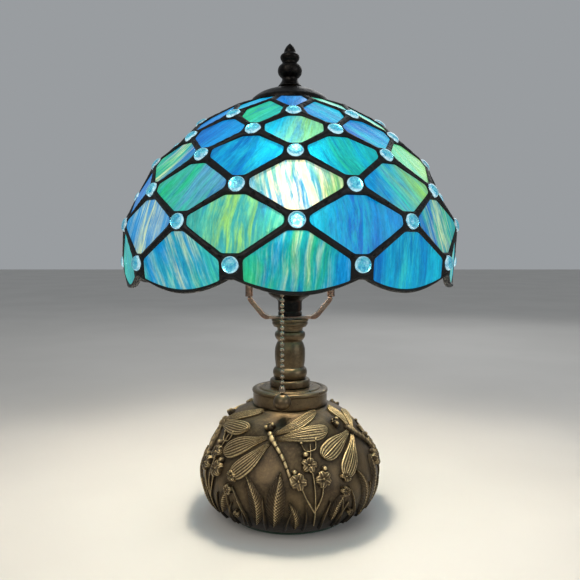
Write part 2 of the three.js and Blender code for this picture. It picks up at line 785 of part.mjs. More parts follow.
// Solder between row k and row k + 1: over each jewel of ring k and under each of ring k + 1.
function leadingRing(k) {
  const rise = leadRise(k);
  const station = (m, azimuth, shift) => {
    const up = upMeridian(m, azimuth);
    return {
      at: place(RINGS[m], azimuth).addScaledVector(up, shift),
      wide: up.multiplyScalar(rise),
      deep: outward(m, azimuth).multiplyScalar(LEAD_THICK / 2),
    };
  };
  const stations = [];
  for (let j = 0; j < PANES; j++) {
    const azimuth = ringAzimuth(k, j);
    stations.push(station(k, azimuth, clearOf(k, rise)));
    stations.push(station(k + 1, azimuth + STEP / 2, -clearOf(k + 1, rise)));
  }
  return band(stations);
}

// The came round the scalloped rim.
function rimCame() {
  const drop = RIM_HALF + LEAD_GAP * 2;
  const stations = [];
  for (let j = 0; j < PANES; j++) {
    const middle = ringAzimuth(1, j);
    const valley = corner(0, middle - STEP / 2, -JEWEL_R - drop);
    for (const { at, out } of [valley, ...scallop(middle, drop)]) {
      stations.push({
        at,
        wide: new THREE.Vector3(0, 0, RIM_HALF),
        deep: out.clone().multiplyScalar(LEAD_THICK / 2),
      });
    }
  }
  return band(stations);
}

const ROW_NAMES = ["one", "two", "three", "four", "five", "six", "seven"];
RINGS.forEach((_, k) => {
  add("glass_row_" + ROW_NAMES[k], glassRow(k), material(glassTints[k], 0.15, 0));
});
RINGS.slice(0, -1).forEach((_, k) => {
  add("leading_" + ROW_NAMES[k] + "_" + ROW_NAMES[k + 1], leadingRing(k), solder);
});
add("rim_came", rimCame(), solder);

// The shade's brass top ring stands inside the cap, just above the top row of panes.
add("shade_top_ring", ring(21.0, 26.4, SHADE_TOP[1] + 2.4, SHADE_TOP[1] + 4.0), brass);
add(
  "vase_cap",
  turned(
    [
      [STUD_R + GAP, CAP_HUB_Z - CAP_SHEET],
      [10.0, CAP_HUB_Z - CAP_SHEET],
      [15.2, 323.3],
      [22.6, 320.4],
      [27.6, 317.0],
      [28.8, CAP_EDGE_Z + 1.2],
      [CAP_R, CAP_EDGE_Z + 1.2],
      [CAP_R, CAP_EDGE_Z + 2.2],
      [28.6, 317.8],
      [23.2, 321.5],
      [15.5, 324.4],
      [10.0, CAP_HUB_Z],
      [STUD_R + GAP, CAP_HUB_Z],
    ],
    24,
  ),
  darkMetal,
);

// ---------- finial ----------
add("finial_washer", ring(STUD_R + GAP, 6.2, WASHER_Z, WASHER_Z + WASHER_THICK, 20), brass);
add(
  "finial",
  turned(
    [
      [STUD_R + GAP, FINIAL_Z],
      [8.4, FINIAL_Z],
      [9.2, FINIAL_Z + 0.9],
      [8.6, FINIAL_Z + 2.4],
      [6.4, 331.2],
      [5.9, 333.1],
      [7.0, 335.2],
      [8.8, 337.6],
      [9.2, 339.7],
      [8.2, 342.4],
      [6.2, 344.6],
      [5.7, 345.8],
      [6.9, 347.4],
      [7.5, 349.6],
      [6.4, 352.2],
      [4.4, 354.8],
      [2.2, 357.6],
      [0, FINIAL_TIP_Z],
      [0, FINIAL_BORE_TOP_Z + 1.5],
      [STUD_R + GAP, FINIAL_BORE_TOP_Z],
    ],
    16,
  ),
  darkMetal,
);

export default lamp;
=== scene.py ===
"""A stained glass table lamp: its looks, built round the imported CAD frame. The lamp's own lengths are
in millimetres until a mesh is made; the camera, floor and lights are placed in metres. Azimuths
count from the front (-Y), positive to the right."""
import math

import bpy
import numpy as np
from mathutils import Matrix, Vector, geometry
from mathutils.kdtree import KDTree


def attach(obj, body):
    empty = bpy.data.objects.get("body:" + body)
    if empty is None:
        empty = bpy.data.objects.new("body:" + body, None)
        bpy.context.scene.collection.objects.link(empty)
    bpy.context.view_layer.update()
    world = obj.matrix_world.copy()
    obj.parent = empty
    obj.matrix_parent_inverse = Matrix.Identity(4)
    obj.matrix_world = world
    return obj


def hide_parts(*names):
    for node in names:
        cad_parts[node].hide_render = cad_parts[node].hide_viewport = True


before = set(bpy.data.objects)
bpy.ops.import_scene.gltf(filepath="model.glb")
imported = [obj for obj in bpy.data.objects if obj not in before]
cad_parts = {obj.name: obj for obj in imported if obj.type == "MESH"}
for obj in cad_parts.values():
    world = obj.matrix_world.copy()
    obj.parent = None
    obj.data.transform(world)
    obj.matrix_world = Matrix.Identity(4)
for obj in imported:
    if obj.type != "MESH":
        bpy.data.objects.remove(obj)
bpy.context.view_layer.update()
MM = 0.001
TAU = 2 * math.pi
ROD_BORE = 5.2  # radius of the hole round the lamp rod
STUD_BORE = 3.45  # radius of the hole round the harp's stud
CORD_HOLE_R = 5.2
HARP_X = 31.6  # how far the harp's feet stand from the middle
rng = np.random.default_rng(23)
scene = bpy.context.scene


def collect(obj):
    scene.collection.objects.link(obj)
    return obj


# ---------- camera ----------
CAMERA_AT = (0.0, -0.497, 0.2048)
CAMERA_DIP = 3.63  # degrees below level
camera = collect(bpy.data.objects.new("camera", bpy.data.cameras.new("camera")))
camera.data.lens = 40.07
camera.data.clip_start = 0.01
camera.location = CAMERA_AT
camera.rotation_euler = (math.radians(90 - CAMERA_DIP), 0.0, 0.0)
scene.camera = camera


# ---------- materials ----------
def linear(hexadecimal):
    """A linear colour from a six-digit sRGB number."""
    parts = [(hexadecimal >> shift & 255) / 255 for shift in (16, 8, 0)]
    return tuple(c / 12.92 if c <= 0.04045 else ((c + 0.055) / 1.055) ** 2.4 for c in parts)


class Look:
    """A material in the making: short names for the nodes that the looks below are made of."""

    def __init__(self, name):
        self.material = bpy.data.materials.new(name)
        self.material.use_nodes = True
        self.tree = self.material.node_tree
        self.surface = self.tree.nodes["Principled BSDF"]

    def put(self, socket, value):
        if isinstance(value, bpy.types.NodeSocket):
            self.tree.links.new(value, socket)
        elif isinstance(value, tuple) and len(value) == 3 and len(socket.default_value) == 4:
            socket.default_value = (*value, 1.0)
        else:
            socket.default_value = value

    def node(self, kind, inputs, **settings):
        made = self.tree.nodes.new("ShaderNode" + kind)
        for key, value in settings.items():
            setattr(made, key, value)
        for key, value in inputs.items():
            self.put(made.inputs[key], value)
        return made

    def place(self):
        """The point on the object, in millimetres."""
        where = self.tree.nodes.new("ShaderNodeTexCoord").outputs["Object"]
        return self.node("VectorMath", {0: where, 1: (1000, 1000, 1000)}, operation="MULTIPLY").outputs[0]

    def stretch(self, vector, scale, shift=(0.0, 0.0, 0.0)):
        return self.node("Mapping", {"Vector": vector, "Scale": scale, "Location": shift}).outputs[0]

    def noise(self, vector, scale, detail, roughness=0.5, distortion=0.0):
        inputs = {"Vector": vector, "Scale": scale, "Detail": detail}
        inputs.update({"Roughness": roughness, "Distortion": distortion})
        return self.node("TexNoise", inputs).outputs["Fac"]

    def cells(self, vector, scale):
        return self.node("TexVoronoi", {"Vector": vector, "Scale": scale}).outputs["Distance"]

    def span(self, value, low, high, to_low=0.0, to_high=1.0):
        inputs = {"Value": value, "From Min": low, "From Max": high, "To Min": to_low, "To Max": to_high}
        return self.node("MapRange", inputs, interpolation_type="SMOOTHSTEP").outputs[0]

    def calc(self, operation, a, b, clamp=False):
        return self.node("Math", {0: a, 1: b}, operation=operation, use_clamp=clamp).outputs[0]

    def mix(self, share, a, b, blend="MIX"):
        made = self.tree.nodes.new("ShaderNodeMix")
        made.data_type = "RGBA"
        made.blend_type = blend
        self.put(made.inputs[0], share)
        self.put(made.inputs[6], a)
        self.put(made.inputs[7], b)
        return made.outputs[2]

    def dimmed(self, colour, share):
        """A colour multiplied by a share."""
        grey = self.node("CombineColor", {0: share, 1: share, 2: share}).outputs[0]
        return self.mix(1.0, colour, grey, "MULTIPLY")

    def attribute(self, name, output="Fac"):
        return self.node("Attribute", {}, attribute_name=name).outputs[output]

    def bump(self, height, distance, strength=1.0, under=None):
        made = self.node("Bump", {"Height": height, "Distance": distance * MM, "Strength": strength})
        if under is not None:
            self.put(made.inputs["Normal"], under)
        return made.outputs[0]

    def finish(self, **inputs):
        for key, value in inputs.items():
            self.put(self.surface.inputs[key.replace("_", " ")], value)
        return self.material


def metal_look(
    name, tones, roughness, metallic, grain=0.9, wear=0.5, bump=0.05, lines=0.0, mottle=0.5
):
    """A patinated or plated metal: a mottled tone, edges and crests worn brighter, a fine surface.
    tones are its dark, middle and bright colours."""
    look = Look(name)
    dark, mid, bright = (linear(tone) for tone in tones)
    where = look.place()
    broad = look.noise(where, 0.06, 4, 0.6)
    fine = look.noise(where, grain, 3, 0.6)
    tone = look.mix(look.span(broad, 0.3, 0.7, 0.5 - mottle, 0.5 + mottle), dark, mid)
    tone = look.mix(look.span(fine, 0.35, 0.75, 0.0, mottle), tone, bright)
    edge = look.span(look.node("NewGeometry", {}).outputs["Pointiness"], 0.515, 0.58)
    rubbed = look.calc("MAXIMUM", edge, look.attribute("worn"))
    worn = look.calc("MULTIPLY", rubbed, look.span(fine, 0.1, 0.6, 0.5, 1.0))
    tone = look.mix(look.calc("MULTIPLY", worn, wear), tone, bright)
    tone = look.mix(look.attribute("recess"), tone, dark)
    rough = look.span(look.noise(where, grain * 0.6, 3), 0.2, 0.8, roughness - 0.08, roughness + 0.1)
    height = fine
    if lines:
        rings = look.noise(look.stretch(where, (0.05, 0.05, 3.0)), 1.0, 2)
        height = look.calc("ADD", look.calc("MULTIPLY", rings, lines), fine)
    return look.finish(
        Base_Color=tone, Metallic=metallic, Roughness=rough, Normal=look.bump(height, bump)
    )


def cast_bronze_look():
    """Antique bronze on the cast relief: near black in the recesses, partly patina and partly painted shade,
    worn gold on the crests.
    """
    look = Look("cast_bronze")
    where = look.place()
    broad = look.noise(where, 0.035, 4, 0.6)
    fine = look.noise(where, 0.55, 4, 0.65)
    speck = look.noise(where, 2.4, 2, 0.5)
    brown = look.mix(look.span(broad, 0.3, 0.7), linear(0x44382A), linear(0x66563E))
    brown = look.mix(look.span(fine, 0.4, 0.85, 0.0, 0.5), brown, linear(0x7E6B4C))
    # Painted shade: the recess mask darkens the bronze to near black, partly the patina in the hollows and
    # partly shade beside the relief and towards the foot.
    recess = look.attribute("recess")
    painted_shade = look.calc("MULTIPLY", recess, look.span(fine, 0.15, 0.75, 1.0, 0.7), clamp=True)
    brown = look.mix(painted_shade, brown, linear(0x0A0704))
    gold = look.mix(look.span(speck, 0.3, 0.7), linear(0xA08658), linear(0xE8D2A2))
    crest = look.span(look.attribute("worn"), 0.4, 0.95)
    worn = look.calc("MULTIPLY", crest, look.span(fine, 0.2, 0.65, 0.3, 0.95), clamp=True)
    tone = look.mix(worn, brown, gold)
    rough = look.span(fine, 0.2, 0.8, 0.34, 0.52)
    under = look.bump(look.noise(where, 0.22, 3, 0.5), 0.35)
    return look.finish(
        Base_Color=tone, Metallic=0.8, Roughness=rough, Normal=look.bump(fine, 0.07, under=under)
    )


def glass_look():
    """Streaky opalescent sheet glass: two tints blend across each pane, with wisps of a third, and a painted
    glow from the bulb.
    """
    look = Look("shade_glass")
    flow = look.attribute("flow", "Vector")
    share = look.attribute("share")
    wide = look.noise(look.stretch(flow, (0.055, 0.012, 1.0)), 1.0, 4, 0.55, 0.9)
    wisp = look.noise(look.stretch(flow, (0.16, 0.018, 1.0), (31.0, 7.0, 3.0)), 1.0, 5, 0.62, 1.2)
    thin = look.noise(look.stretch(flow, (0.5, 0.045, 1.0), (5.0, 11.0, 9.0)), 1.0, 5, 0.62, 0.7)
    grain = look.noise(look.stretch(flow, (0.9, 0.3, 1.0), (2.0, 3.0, 17.0)), 1.0, 4, 0.65)
    drift = look.calc("ADD", share, look.calc("MULTIPLY", look.calc("SUBTRACT", wide, 0.5), 2.8))
    change = look.span(drift, -0.1, 1.1)
    tint = look.mix(change, look.attribute("tint_a", "Color"), look.attribute("tint_b", "Color"))
    strand = look.calc("ADD", wisp, look.calc("MULTIPLY", look.calc("SUBTRACT", thin, 0.5), 0.45))
    spread_out = look.calc("MULTIPLY", look.calc("SUBTRACT", look.attribute("milk"), 0.5), 0.13)
    band = look.span(look.calc("ADD", strand, spread_out), 0.44, 0.76)
    milk = look.calc("MULTIPLY", band, look.attribute("milk"), clamp=True)
    tint = look.mix(milk, tint, look.attribute("tint_c", "Color"))
    clear = look.span(look.attribute("milk"), 0.7, 1.5, 1.0, 0.1)
    deep = look.calc("MULTIPLY", look.span(wisp, 0.3, 0.47, 0.55, 0.0), clear)
    tint = look.mix(deep, tint, linear(0x0358A6))
    streaks = look.span(thin, 0.3, 0.7, 0.78, 1.14)
    light = look.calc("MULTIPLY", streaks, look.span(grain, 0.3, 0.7, 0.88, 1.1))
    tint = look.dimmed(tint, light)
    # Painted light: the glass glows with its own tint, brighter near the bulb, standing for the bulb's light
    # shining through it.
    painted_glow_colour = look.dimmed(tint, look.attribute("glow"))
    body = look.mix(1.0, tint, (0.26, 0.26, 0.26), "MULTIPLY")
    ripple = look.bump(look.noise(look.stretch(flow, (0.25, 0.1, 1.0)), 1.0, 2), 0.25)
    return look.finish(
        Base_Color=body, Roughness=0.27, Transmission_Weight=0.34, IOR=1.45, Specular_IOR_Level=0.12,
        Emission_Color=painted_glow_colour, Emission_Strength=1.05, Normal=look.bump(grain, 0.12, under=ripple),
    )


def jewel_look():
    """Pressed glass jewels: pale aqua, pebbled inside, with a painted highlight at the rim and a painted
    glow.
    """
    look = Look("jewel_glass")
    where = look.place()
    pebble = look.cells(where, 0.75)
    cloud = look.noise(where, 0.45, 3, 0.6)
    inner = look.mix(look.span(cloud, 0.32, 0.68), linear(0x1488AE), linear(0x58BCC8))
    inner = look.mix(look.span(pebble, 0.1, 0.6, 0.35, 0.0), inner, linear(0xA9DFE8))
    # Painted highlight: the rim is painted near white where light would gather.
    rim = look.span(look.attribute("rim"), 0.78, 0.96)
    painted_rim_highlight = look.calc("MULTIPLY", rim, look.span(cloud, 0.28, 0.6, 0.15, 0.9))
    tone = look.mix(painted_rim_highlight, inner, linear(0xDCF4FA))
    # Painted light: the jewels glow with their own tone, standing for the bulb's light through them.
    painted_glow_colour = look.dimmed(tone, look.attribute("glow"))
    return look.finish(
        Base_Color=look.mix(1.0, tone, (0.6, 0.6, 0.6), "MULTIPLY"), Roughness=0.24, IOR=1.5,
        Transmission_Weight=0.7, Coat_Weight=0.5, Coat_Roughness=0.05, Emission_Color=painted_glow_colour,
        Emission_Strength=0.56, Normal=look.bump(pebble, 0.3, 0.6),
    )


def solder_look():
    """Black patina solder: nearly black, glossy in patches, with the lumps a soldering iron leaves."""
    look = Look("solder")
    where = look.place()
    lump = look.noise(where, 0.32, 3, 0.55)
    fine = look.noise(where, 1.7, 3, 0.6)
    tone = look.mix(look.span(fine, 0.35, 0.8), linear(0x030404), linear(0x0C0D0E))
    worn = look.span(look.node("NewGeometry", {}).outputs["Pointiness"], 0.52, 0.6, 0.0, 0.25)
    tone = look.mix(worn, tone, linear(0x333537))
    rough = look.span(lump, 0.3, 0.7, 0.42, 0.6)
    under = look.bump(lump, 0.3)
    return look.finish(
        Base_Color=tone, Metallic=0.3, Roughness=rough, Specular_IOR_Level=0.35,
        Normal=look.bump(fine, 0.03, under=under),
    )


def felt_look():
    look = Look("felt")
    where = look.place()
    fibre = look.noise(look.stretch(where, (1.3, 3.1, 1.0)), 1.0, 5, 0.7, 1.5)
    tone = look.mix(look.span(fibre, 0.3, 0.7), linear(0x10251A), linear(0x2C4C39))
    return look.finish(
        Base_Color=tone, Roughness=0.96, Sheen_Weight=0.5, Normal=look.bump(fibre, 0.4)
    )


def plain_look(name, dark, light, roughness, scale, bump=0.08, **more):
    """A material that isn't metal, with mottling and a fine surface."""
    look = Look(name)
    where = look.place()
    fine = look.noise(where, scale, 4, 0.6)
    tone = look.mix(look.span(fine, 0.3, 0.7), linear(dark), linear(light))
    rough = look.span(look.noise(where, scale * 0.4, 2), 0.3, 0.7, roughness - 0.06, roughness + 0.08)
    return look.finish(
        Base_Color=tone, Roughness=rough, Metallic=0.0, Normal=look.bump(fine, bump), **more
    )


LOOKS = {
    "cast_bronze": cast_bronze_look(),
    "felt": felt_look(),
    "shade_glass": glass_look(),
    "jewel_glass": jewel_look(),
    "solder": solder_look(),
}
for name, tones, roughness, metallic, more in (
    (
        "turned_bronze", (0x3A3024, 0x6A5A44, 0xB09A72), 0.34, 0.9,
        {"grain": 0.5, "lines": 0.6, "wear": 0.55, "bump": 0.015, "mottle": 0.12},
    ),
    (
        "rose_bronze", (0x553F34, 0x8A6A5A, 0xD8BAA8), 0.32, 0.85,
        {"lines": 0.2, "mottle": 0.15, "bump": 0.015},
    ),
    ("dark_metal", (0x060505, 0x0E0C0C, 0x332D27), 0.38, 0.85, {"grain": 0.5, "wear": 0.3}),
    ("plain_brass", (0x4E3D20, 0x745C34, 0xA08654), 0.36, 1.0, {}),
    ("plain_steel", (0x77777A, 0xA8A8A6, 0xE2E2DF), 0.3, 1.0, {}),
    (
        "chain_metal", (0x5A4C3E, 0xA89882, 0xF2E8D6), 0.22, 1.0,
        {"wear": 0.15, "bump": 0.005, "mottle": 0.12},
    ),
):
    LOOKS[name] = metal_look(name, tones, roughness, metallic, **more)
for name, dark, light, roughness, scale, more in (
    ("grommet_rubber", 0x14110F, 0x2A2622, 0.7, 0.6, {}),
    ("phenolic", 0x0C0B0B, 0x241F1D, 0.42, 0.5, {}),
    ("insulating_card", 0xA28E6A, 0xC9B68F, 0.9, 1.2, {"bump": 0.12}),
    (
        "bulb_glass", 0xFFF1D6, 0xFFFAEC, 0.35, 0.12,
        {"bump": 0.05, "Emission_Color": (1.0, 0.91, 0.76), "Emission_Strength": 48.0},
    ),
    (
        "bulb_light", 0xFFE3B0, 0xFFF3DA, 0.3, 0.3,
        {"bump": 0.05, "Emission_Color": (1.0, 0.8, 0.5), "Emission_Strength": 6.0},
    ),
):
    LOOKS[name] = plain_look(name, dark, light, roughness, scale, **more)


# ---------- meshes ----------
def signed_volume(verts, faces):
    fans = np.array([(face[0], b, c) for face in faces for b, c in zip(face[1:-1], face[2:])])
    a, b, c = (verts[fans[:, i]] for i in range(3))
    return float((a * np.cross(b, c)).sum())


def facing_along(verts, faces, ways):
    """The triangles, each turned to look along its way."""
    a, b, c = (verts[[face[i] for face in faces]] for i in range(3))
    ahead = (np.cross(b - a, c - a) * ways).sum(1) > 0
    return [face if ok else face[::-1] for face, ok in zip(faces, ahead)]


def two_skins(faces, count):
    """The faces of a sheet and of its other side, whose points are numbered from count on."""
    return faces + [tuple(i + count for i in face[::-1]) for face in faces]


def outward_facing(verts, faces):
    """The faces of a closed shell, turned so that they all look outwards."""
    verts = np.asarray(verts, float)
    faces = [tuple(int(i) for i in face) for face in faces]
    if signed_volume(verts - verts.mean(0), faces) < 0:
        faces = [face[::-1] for face in faces]
    return verts, faces


def join(*shells):
    """Several closed shells as one."""
    verts, faces, start = [], [], 0
    for v, f in shells:
        verts.append(np.asarray(v, float))
        faces.extend(tuple(i + start for i in face) for face in f)
        start += len(v)
    return np.concatenate(verts), faces


def piece(name, shell, body, slot, replaces, sharp, attributes=None):
    """A mesh piece from a closed shell in millimetres, with edges sharper than an angle left crisp.
    attributes maps a name to (kind, values)."""
    verts, faces = shell
    mesh = bpy.data.meshes.new(name)
    mesh.from_pydata((np.asarray(verts) * MM).tolist(), [], faces)
    mesh.shade_smooth()
    mesh.set_sharp_from_angle(angle=math.radians(sharp))
    for key, (kind, values) in (attributes or {}).items():
        field = {"FLOAT": "value", "FLOAT_VECTOR": "vector", "FLOAT_COLOR": "color"}[kind]
        made = mesh.attributes.new(key, kind, "POINT")
        made.data.foreach_set(field, np.asarray(values, np.float32).ravel())
    mesh.materials.append(LOOKS[slot])
    obj = collect(bpy.data.objects.new(name, mesh))
    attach(obj, body)
    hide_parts(*([replaces] if isinstance(replaces, str) else replaces))


def softened(points, radius=0.5, steps=4, closed=True):
    """An outline with its corners rounded. A point's own third number overrides the radius."""
    n = len(points)
    out = []
    for i, point in enumerate(points):
        at = np.array(point[:2], float)
        reach = point[2] if len(point) > 2 else radius
        if not closed and i in (0, n - 1):
            out.append(at)
            continue
        before = np.array(points[i - 1][:2], float) - at
        after = np.array(points[(i + 1) % n][:2], float) - at
        span_before, span_after = np.linalg.norm(before), np.linalg.norm(after)
        cut = min(reach, 0.49 * span_before, 0.49 * span_after)
        if cut < 0.02:
            out.append(at)
            continue
        a, b = at + before / span_before * cut, at + after / span_after * cut
        for t in np.linspace(0, 1, steps + 1):
            out.append((1 - t) ** 2 * a + 2 * t * (1 - t) * at + t * t * b)
    return np.array(out)


POLE = 1e-4  # a radius below this is a point on the axis


def lathe(outline, segments, axis=None):
    """A closed outline of [radius, height] turned about Z, or about the vertical through axis."""
    outline = np.asarray(outline, float)
    verts, rows = [], []
    turns = np.linspace(0, TAU, segments, endpoint=False)
    for r, z in outline:
        if r < POLE:
            rows.append([len(verts)] * segments)
            verts.append((0.0, 0.0, z))
        else:
            rows.append(list(range(len(verts), len(verts) + segments)))
            verts.extend((r * math.cos(t), r * math.sin(t), z) for t in turns)
    faces = []
    n = len(rows)
    for i in range(n):
        low, high = rows[i], rows[(i + 1) % n]
        if low[0] == low[1] and high[0] == high[1]:
            continue
        for s in range(segments):
            q = (s + 1) % segments
            face = list(dict.fromkeys((low[s], low[q], high[q], high[s])))
            if len(face) > 2:
                faces.append(tuple(face))
    verts = np.array(verts)
    if axis is not None:
        verts[:, :2] += axis
    return outward_facing(verts, faces)


def tube(path, section, normals, closed=False):
    """A section of [along the normal, across it] carried along a path; closed joins its ends."""
    path = np.asarray(path, float)
    section = np.asarray(section, float)
    n, m = len(path), len(section)
    if closed:
        ahead = np.roll(path, -1, 0) - np.roll(path, 1, 0)
    else:
        ahead = np.gradient(path, axis=0)
    ahead /= np.linalg.norm(ahead, axis=1)[:, None]
    normals = np.broadcast_to(np.asarray(normals, float), path.shape)
    normals = normals - ahead * (normals * ahead).sum(1)[:, None]
    normals /= np.linalg.norm(normals, axis=1)[:, None]
    across = np.cross(ahead, normals)
    if section.ndim == 2:
        section = np.broadcast_to(section, (n, m, 2))
    verts = path[:, None] + normals[:, None] * section[..., :1] + across[:, None] * section[..., 1:]
    count = section.shape[1]
    faces = []
    for i in range(n if closed else n - 1):
        j = (i + 1) % n
        for s in range(count):
            q = (s + 1) % count
            faces.append((i * count + s, i * count + q, j * count + q, j * count + s))
    if not closed:
        faces.append(tuple(range(count))[::-1])
        faces.append(tuple((n - 1) * count + s for s in range(count)))
    return outward_facing(verts.reshape(-1, 3), faces)


def ellipse(a, b, count):
    return [(a * math.cos(t), b * math.sin(t)) for t in np.linspace(0, TAU, count, endpoint=False)]


def spline(points, steps):
    """Points of a Catmull-Rom curve through points, as many as steps + 1, evenly spaced."""
    p = np.asarray(points, float)
    p = np.concatenate([2 * p[:1] - p[1:2], p, 2 * p[-1:] - p[-2:-1]])
    out = []
    for a, b, c, d in zip(p, p[1:], p[2:], p[3:]):
        for t in np.linspace(0, 1, 24, endpoint=False):
            square, cube = 2 * a - 5 * b + 4 * c - d, 3 * b - a - 3 * c + d
            out.append(0.5 * (2 * b + (c - a) * t + square * t**2 + cube * t**3))
    out = np.array(out + [p[-2]])
    run = np.concatenate([[0], np.cumsum(np.linalg.norm(np.diff(out, axis=0), axis=1))])
    at = np.linspace(0, run[-1], steps + 1)
    return np.stack([np.interp(at, run, out[:, i]) for i in range(out.shape[1])], 1)


def smooth_step(x):
    x = np.clip(x, 0, 1)
    return x * x * (3 - 2 * x)


# ---------- the cast base ----------
# The smooth wall under the relief, from the foot up; the relief stands out to the full size.
WALL = [
    (46.6, 1.8, 0.4), (52.2, 4.8), (58.0, 9.4), (62.2, 14.2), (65.3, 19.9), (67.6, 27.8), (68.3, 37.2),
    (66.8, 44.2), (63.4, 51.0), (58.4, 58.9), (53.5, 66.4), (48.9, 73.3), (44.3, 77.8), (39.4, 80.8),
    (34.2, 83.2), (31.0, 85.1), (27.0, 85.3),
]
wall_points = softened(WALL, 9.0, 7, closed=False)
wall_run = np.concatenate([[0], np.cumsum(np.linalg.norm(np.diff(wall_points, axis=0), axis=1))])
wall_slope = np.gradient(wall_points, wall_run, axis=0)


def run_at(height):
    """How far up the wall, along its outline, a height lies."""
    return float(np.interp(height, wall_points[:, 1], wall_run))


def on_wall(azimuth, run, lift):
    """Points on the wall at azimuths (radians) and runs, lifted off it."""
    r = np.interp(run, wall_run, wall_points[:, 0])
    z = np.interp(run, wall_run, wall_points[:, 1])
    slope = np.stack([np.interp(run, wall_run, wall_slope[:, i]) for i in (0, 1)], -1)
    slope /= np.linalg.norm(slope, axis=-1)[..., None]
    r = r + slope[..., 1] * lift
    z = z - slope[..., 0] * lift
    return np.stack([r * np.sin(azimuth), -r * np.cos(azimuth), z], -1)


class Relief:
    """A group of raised forms round one point of the wall. x and y run right and up from it."""

    def __init__(self, azimuth, height):
        self.azimuth = math.radians(azimuth)
        self.run = run_at(height)
        self.shells, self.worn = [], []

    def local(self, azimuth, height):
        """The x and y of a place given by azimuth (degrees) and height."""
        run = run_at(height)
        r = float(np.interp(run, wall_run, wall_points[:, 0]))
        return np.array([(math.radians(azimuth) - self.azimuth) * r, run - self.run])

    def wrapped(self, x, y, lift):
        run = self.run + y
        r = np.interp(run, wall_run, wall_points[:, 0])
        return on_wall(self.azimuth + x / r, run, lift)

    def keep(self, verts, faces, worn):
        self.shells.append(outward_facing(verts, faces))
        self.worn.append(np.asarray(worn, float).ravel())

    def strip(self, spine, half, form, rows, columns):
        """A form along a spine. half(t) is its half-width, form(t, w) its height and wear."""
        spine = spline(spine, rows)
        ahead = np.gradient(spine, axis=0)
        ahead /= np.linalg.norm(ahead, axis=1)[:, None]
        side = np.stack([ahead[:, 1], -ahead[:, 0]], 1)
        t = np.linspace(0, 1, rows + 1)[:, None]
        w = np.sin(np.linspace(-1, 1, columns + 1) * math.pi / 2)[None, :]
        x = spine[:, :1] + side[:, :1] * w * half(t)
        y = spine[:, 1:] + side[:, 1:] * w * half(t)
        lift, worn = form(t + 0 * w, w + 0 * t)
        lift, worn = lift + 0 * x, worn + 0 * x
        lift[:, 0] = lift[:, -1] = lift[0] = lift[-1] = SUNK
        grid = self.wrapped(x, y, lift)
        n, m = rows + 1, columns + 1
        number = np.arange(n * m).reshape(n, m)
        faces = [
            (number[i, j], number[i + 1, j], number[i + 1, j + 1], number[i, j + 1])
            for i in range(n - 1)
            for j in range(m - 1)
        ]
        faces += [(number[i, 0], number[i, -1], number[i + 1, -1], number[i + 1, 0]) for i in range(n - 1)]
        faces += [tuple(number[0]), tuple(number[-1][::-1])]
        self.keep(grid.reshape(-1, 3), faces, worn)

    def dome(self, x0, y0, a, b, top, turn=0.0, shine=1.0):
        """A rounded boss: half-lengths a and b, its top at a height over the wall."""
        rings, around = DOME_RINGS, DOME_SIDES
        verts, worn = [self.wrapped(np.array(x0), np.array(y0), np.array(top))], [shine]
        c, s = math.cos(math.radians(turn)), math.sin(math.radians(turn))
        for ring in range(1, rings + 1):
            rho = math.sin(ring / rings * math.pi / 2)
            for t in np.linspace(0, TAU, around, endpoint=False):
                u, v = a * rho * math.cos(t), b * rho * math.sin(t)
                lift = SUNK + (top - SUNK) * math.sqrt(max(0.0, 1 - rho * rho))
                x, y = x0 + u * c - v * s, y0 + u * s + v * c
                verts.append(self.wrapped(np.array(x), np.array(y), np.array(lift)))
                worn.append(shine * max(0.0, 1 - 1.3 * rho**2))
        faces = [(0, 1 + i, 1 + (i + 1) % around) for i in range(around)]
        for ring in range(rings - 1):
            for i in range(around):
                a0, a1 = 1 + ring * around + i, 1 + ring * around + (i + 1) % around
                faces.append((a0, a0 + around, a1 + around, a1))
        faces.append(tuple(1 + (rings - 1) * around + i for i in range(around))[::-1])
        self.keep(np.array(verts), faces, worn)

    def made(self, name):
        worn = np.concatenate(self.worn)
        shell = join(*self.shells)
        # The relief is darker where it is low and unworn, partly patina and partly painted shade, with
        # painted shade towards the foot.
        recess = np.clip(1.0 - 1.35 * worn, 0, 0.95) * 0.95 + painted_shade(shell[0], 36.0, 34.0, 0.45)
        attributes = {"worn": ("FLOAT", worn), "recess": ("FLOAT", recess)}
        relief_points.append(shell[0])
        piece(name, shell, "base", "cast_bronze", "base_body", 60, attributes)


SUNK = -0.7  # how far under the wall the edges of the relief lie
DOME_RINGS, DOME_SIDES = 7, 20
WING_BEAD = 1.25  # length of a beaded cell along a wing
TAIL_SEGMENTS = 6
VEINS = (-0.6, -0.3, 0.0, 0.3, 0.6)  # where a wing's veins run, from edge (-1) to edge (1)
relief_points = []


def painted_shade(verts, top, reach, most):
    """Painted shade that darkens the base towards its foot, from a height down."""
    return smooth_step((top - verts[:, 2]) / reach) * most


def ridge(distance, width):
    return np.exp(-((distance / width) ** 2))


def bowed(base, tip, bow):
    """The spine from base to tip, bowed to its right, and its straight length."""
    base, tip = np.array(base, float), np.array(tip, float)
    length = np.linalg.norm(tip - base)
    side = np.array([tip[1] - base[1], base[0] - tip[0]]) / length
    return [base, (base + tip) / 2 + side * bow, tip], length


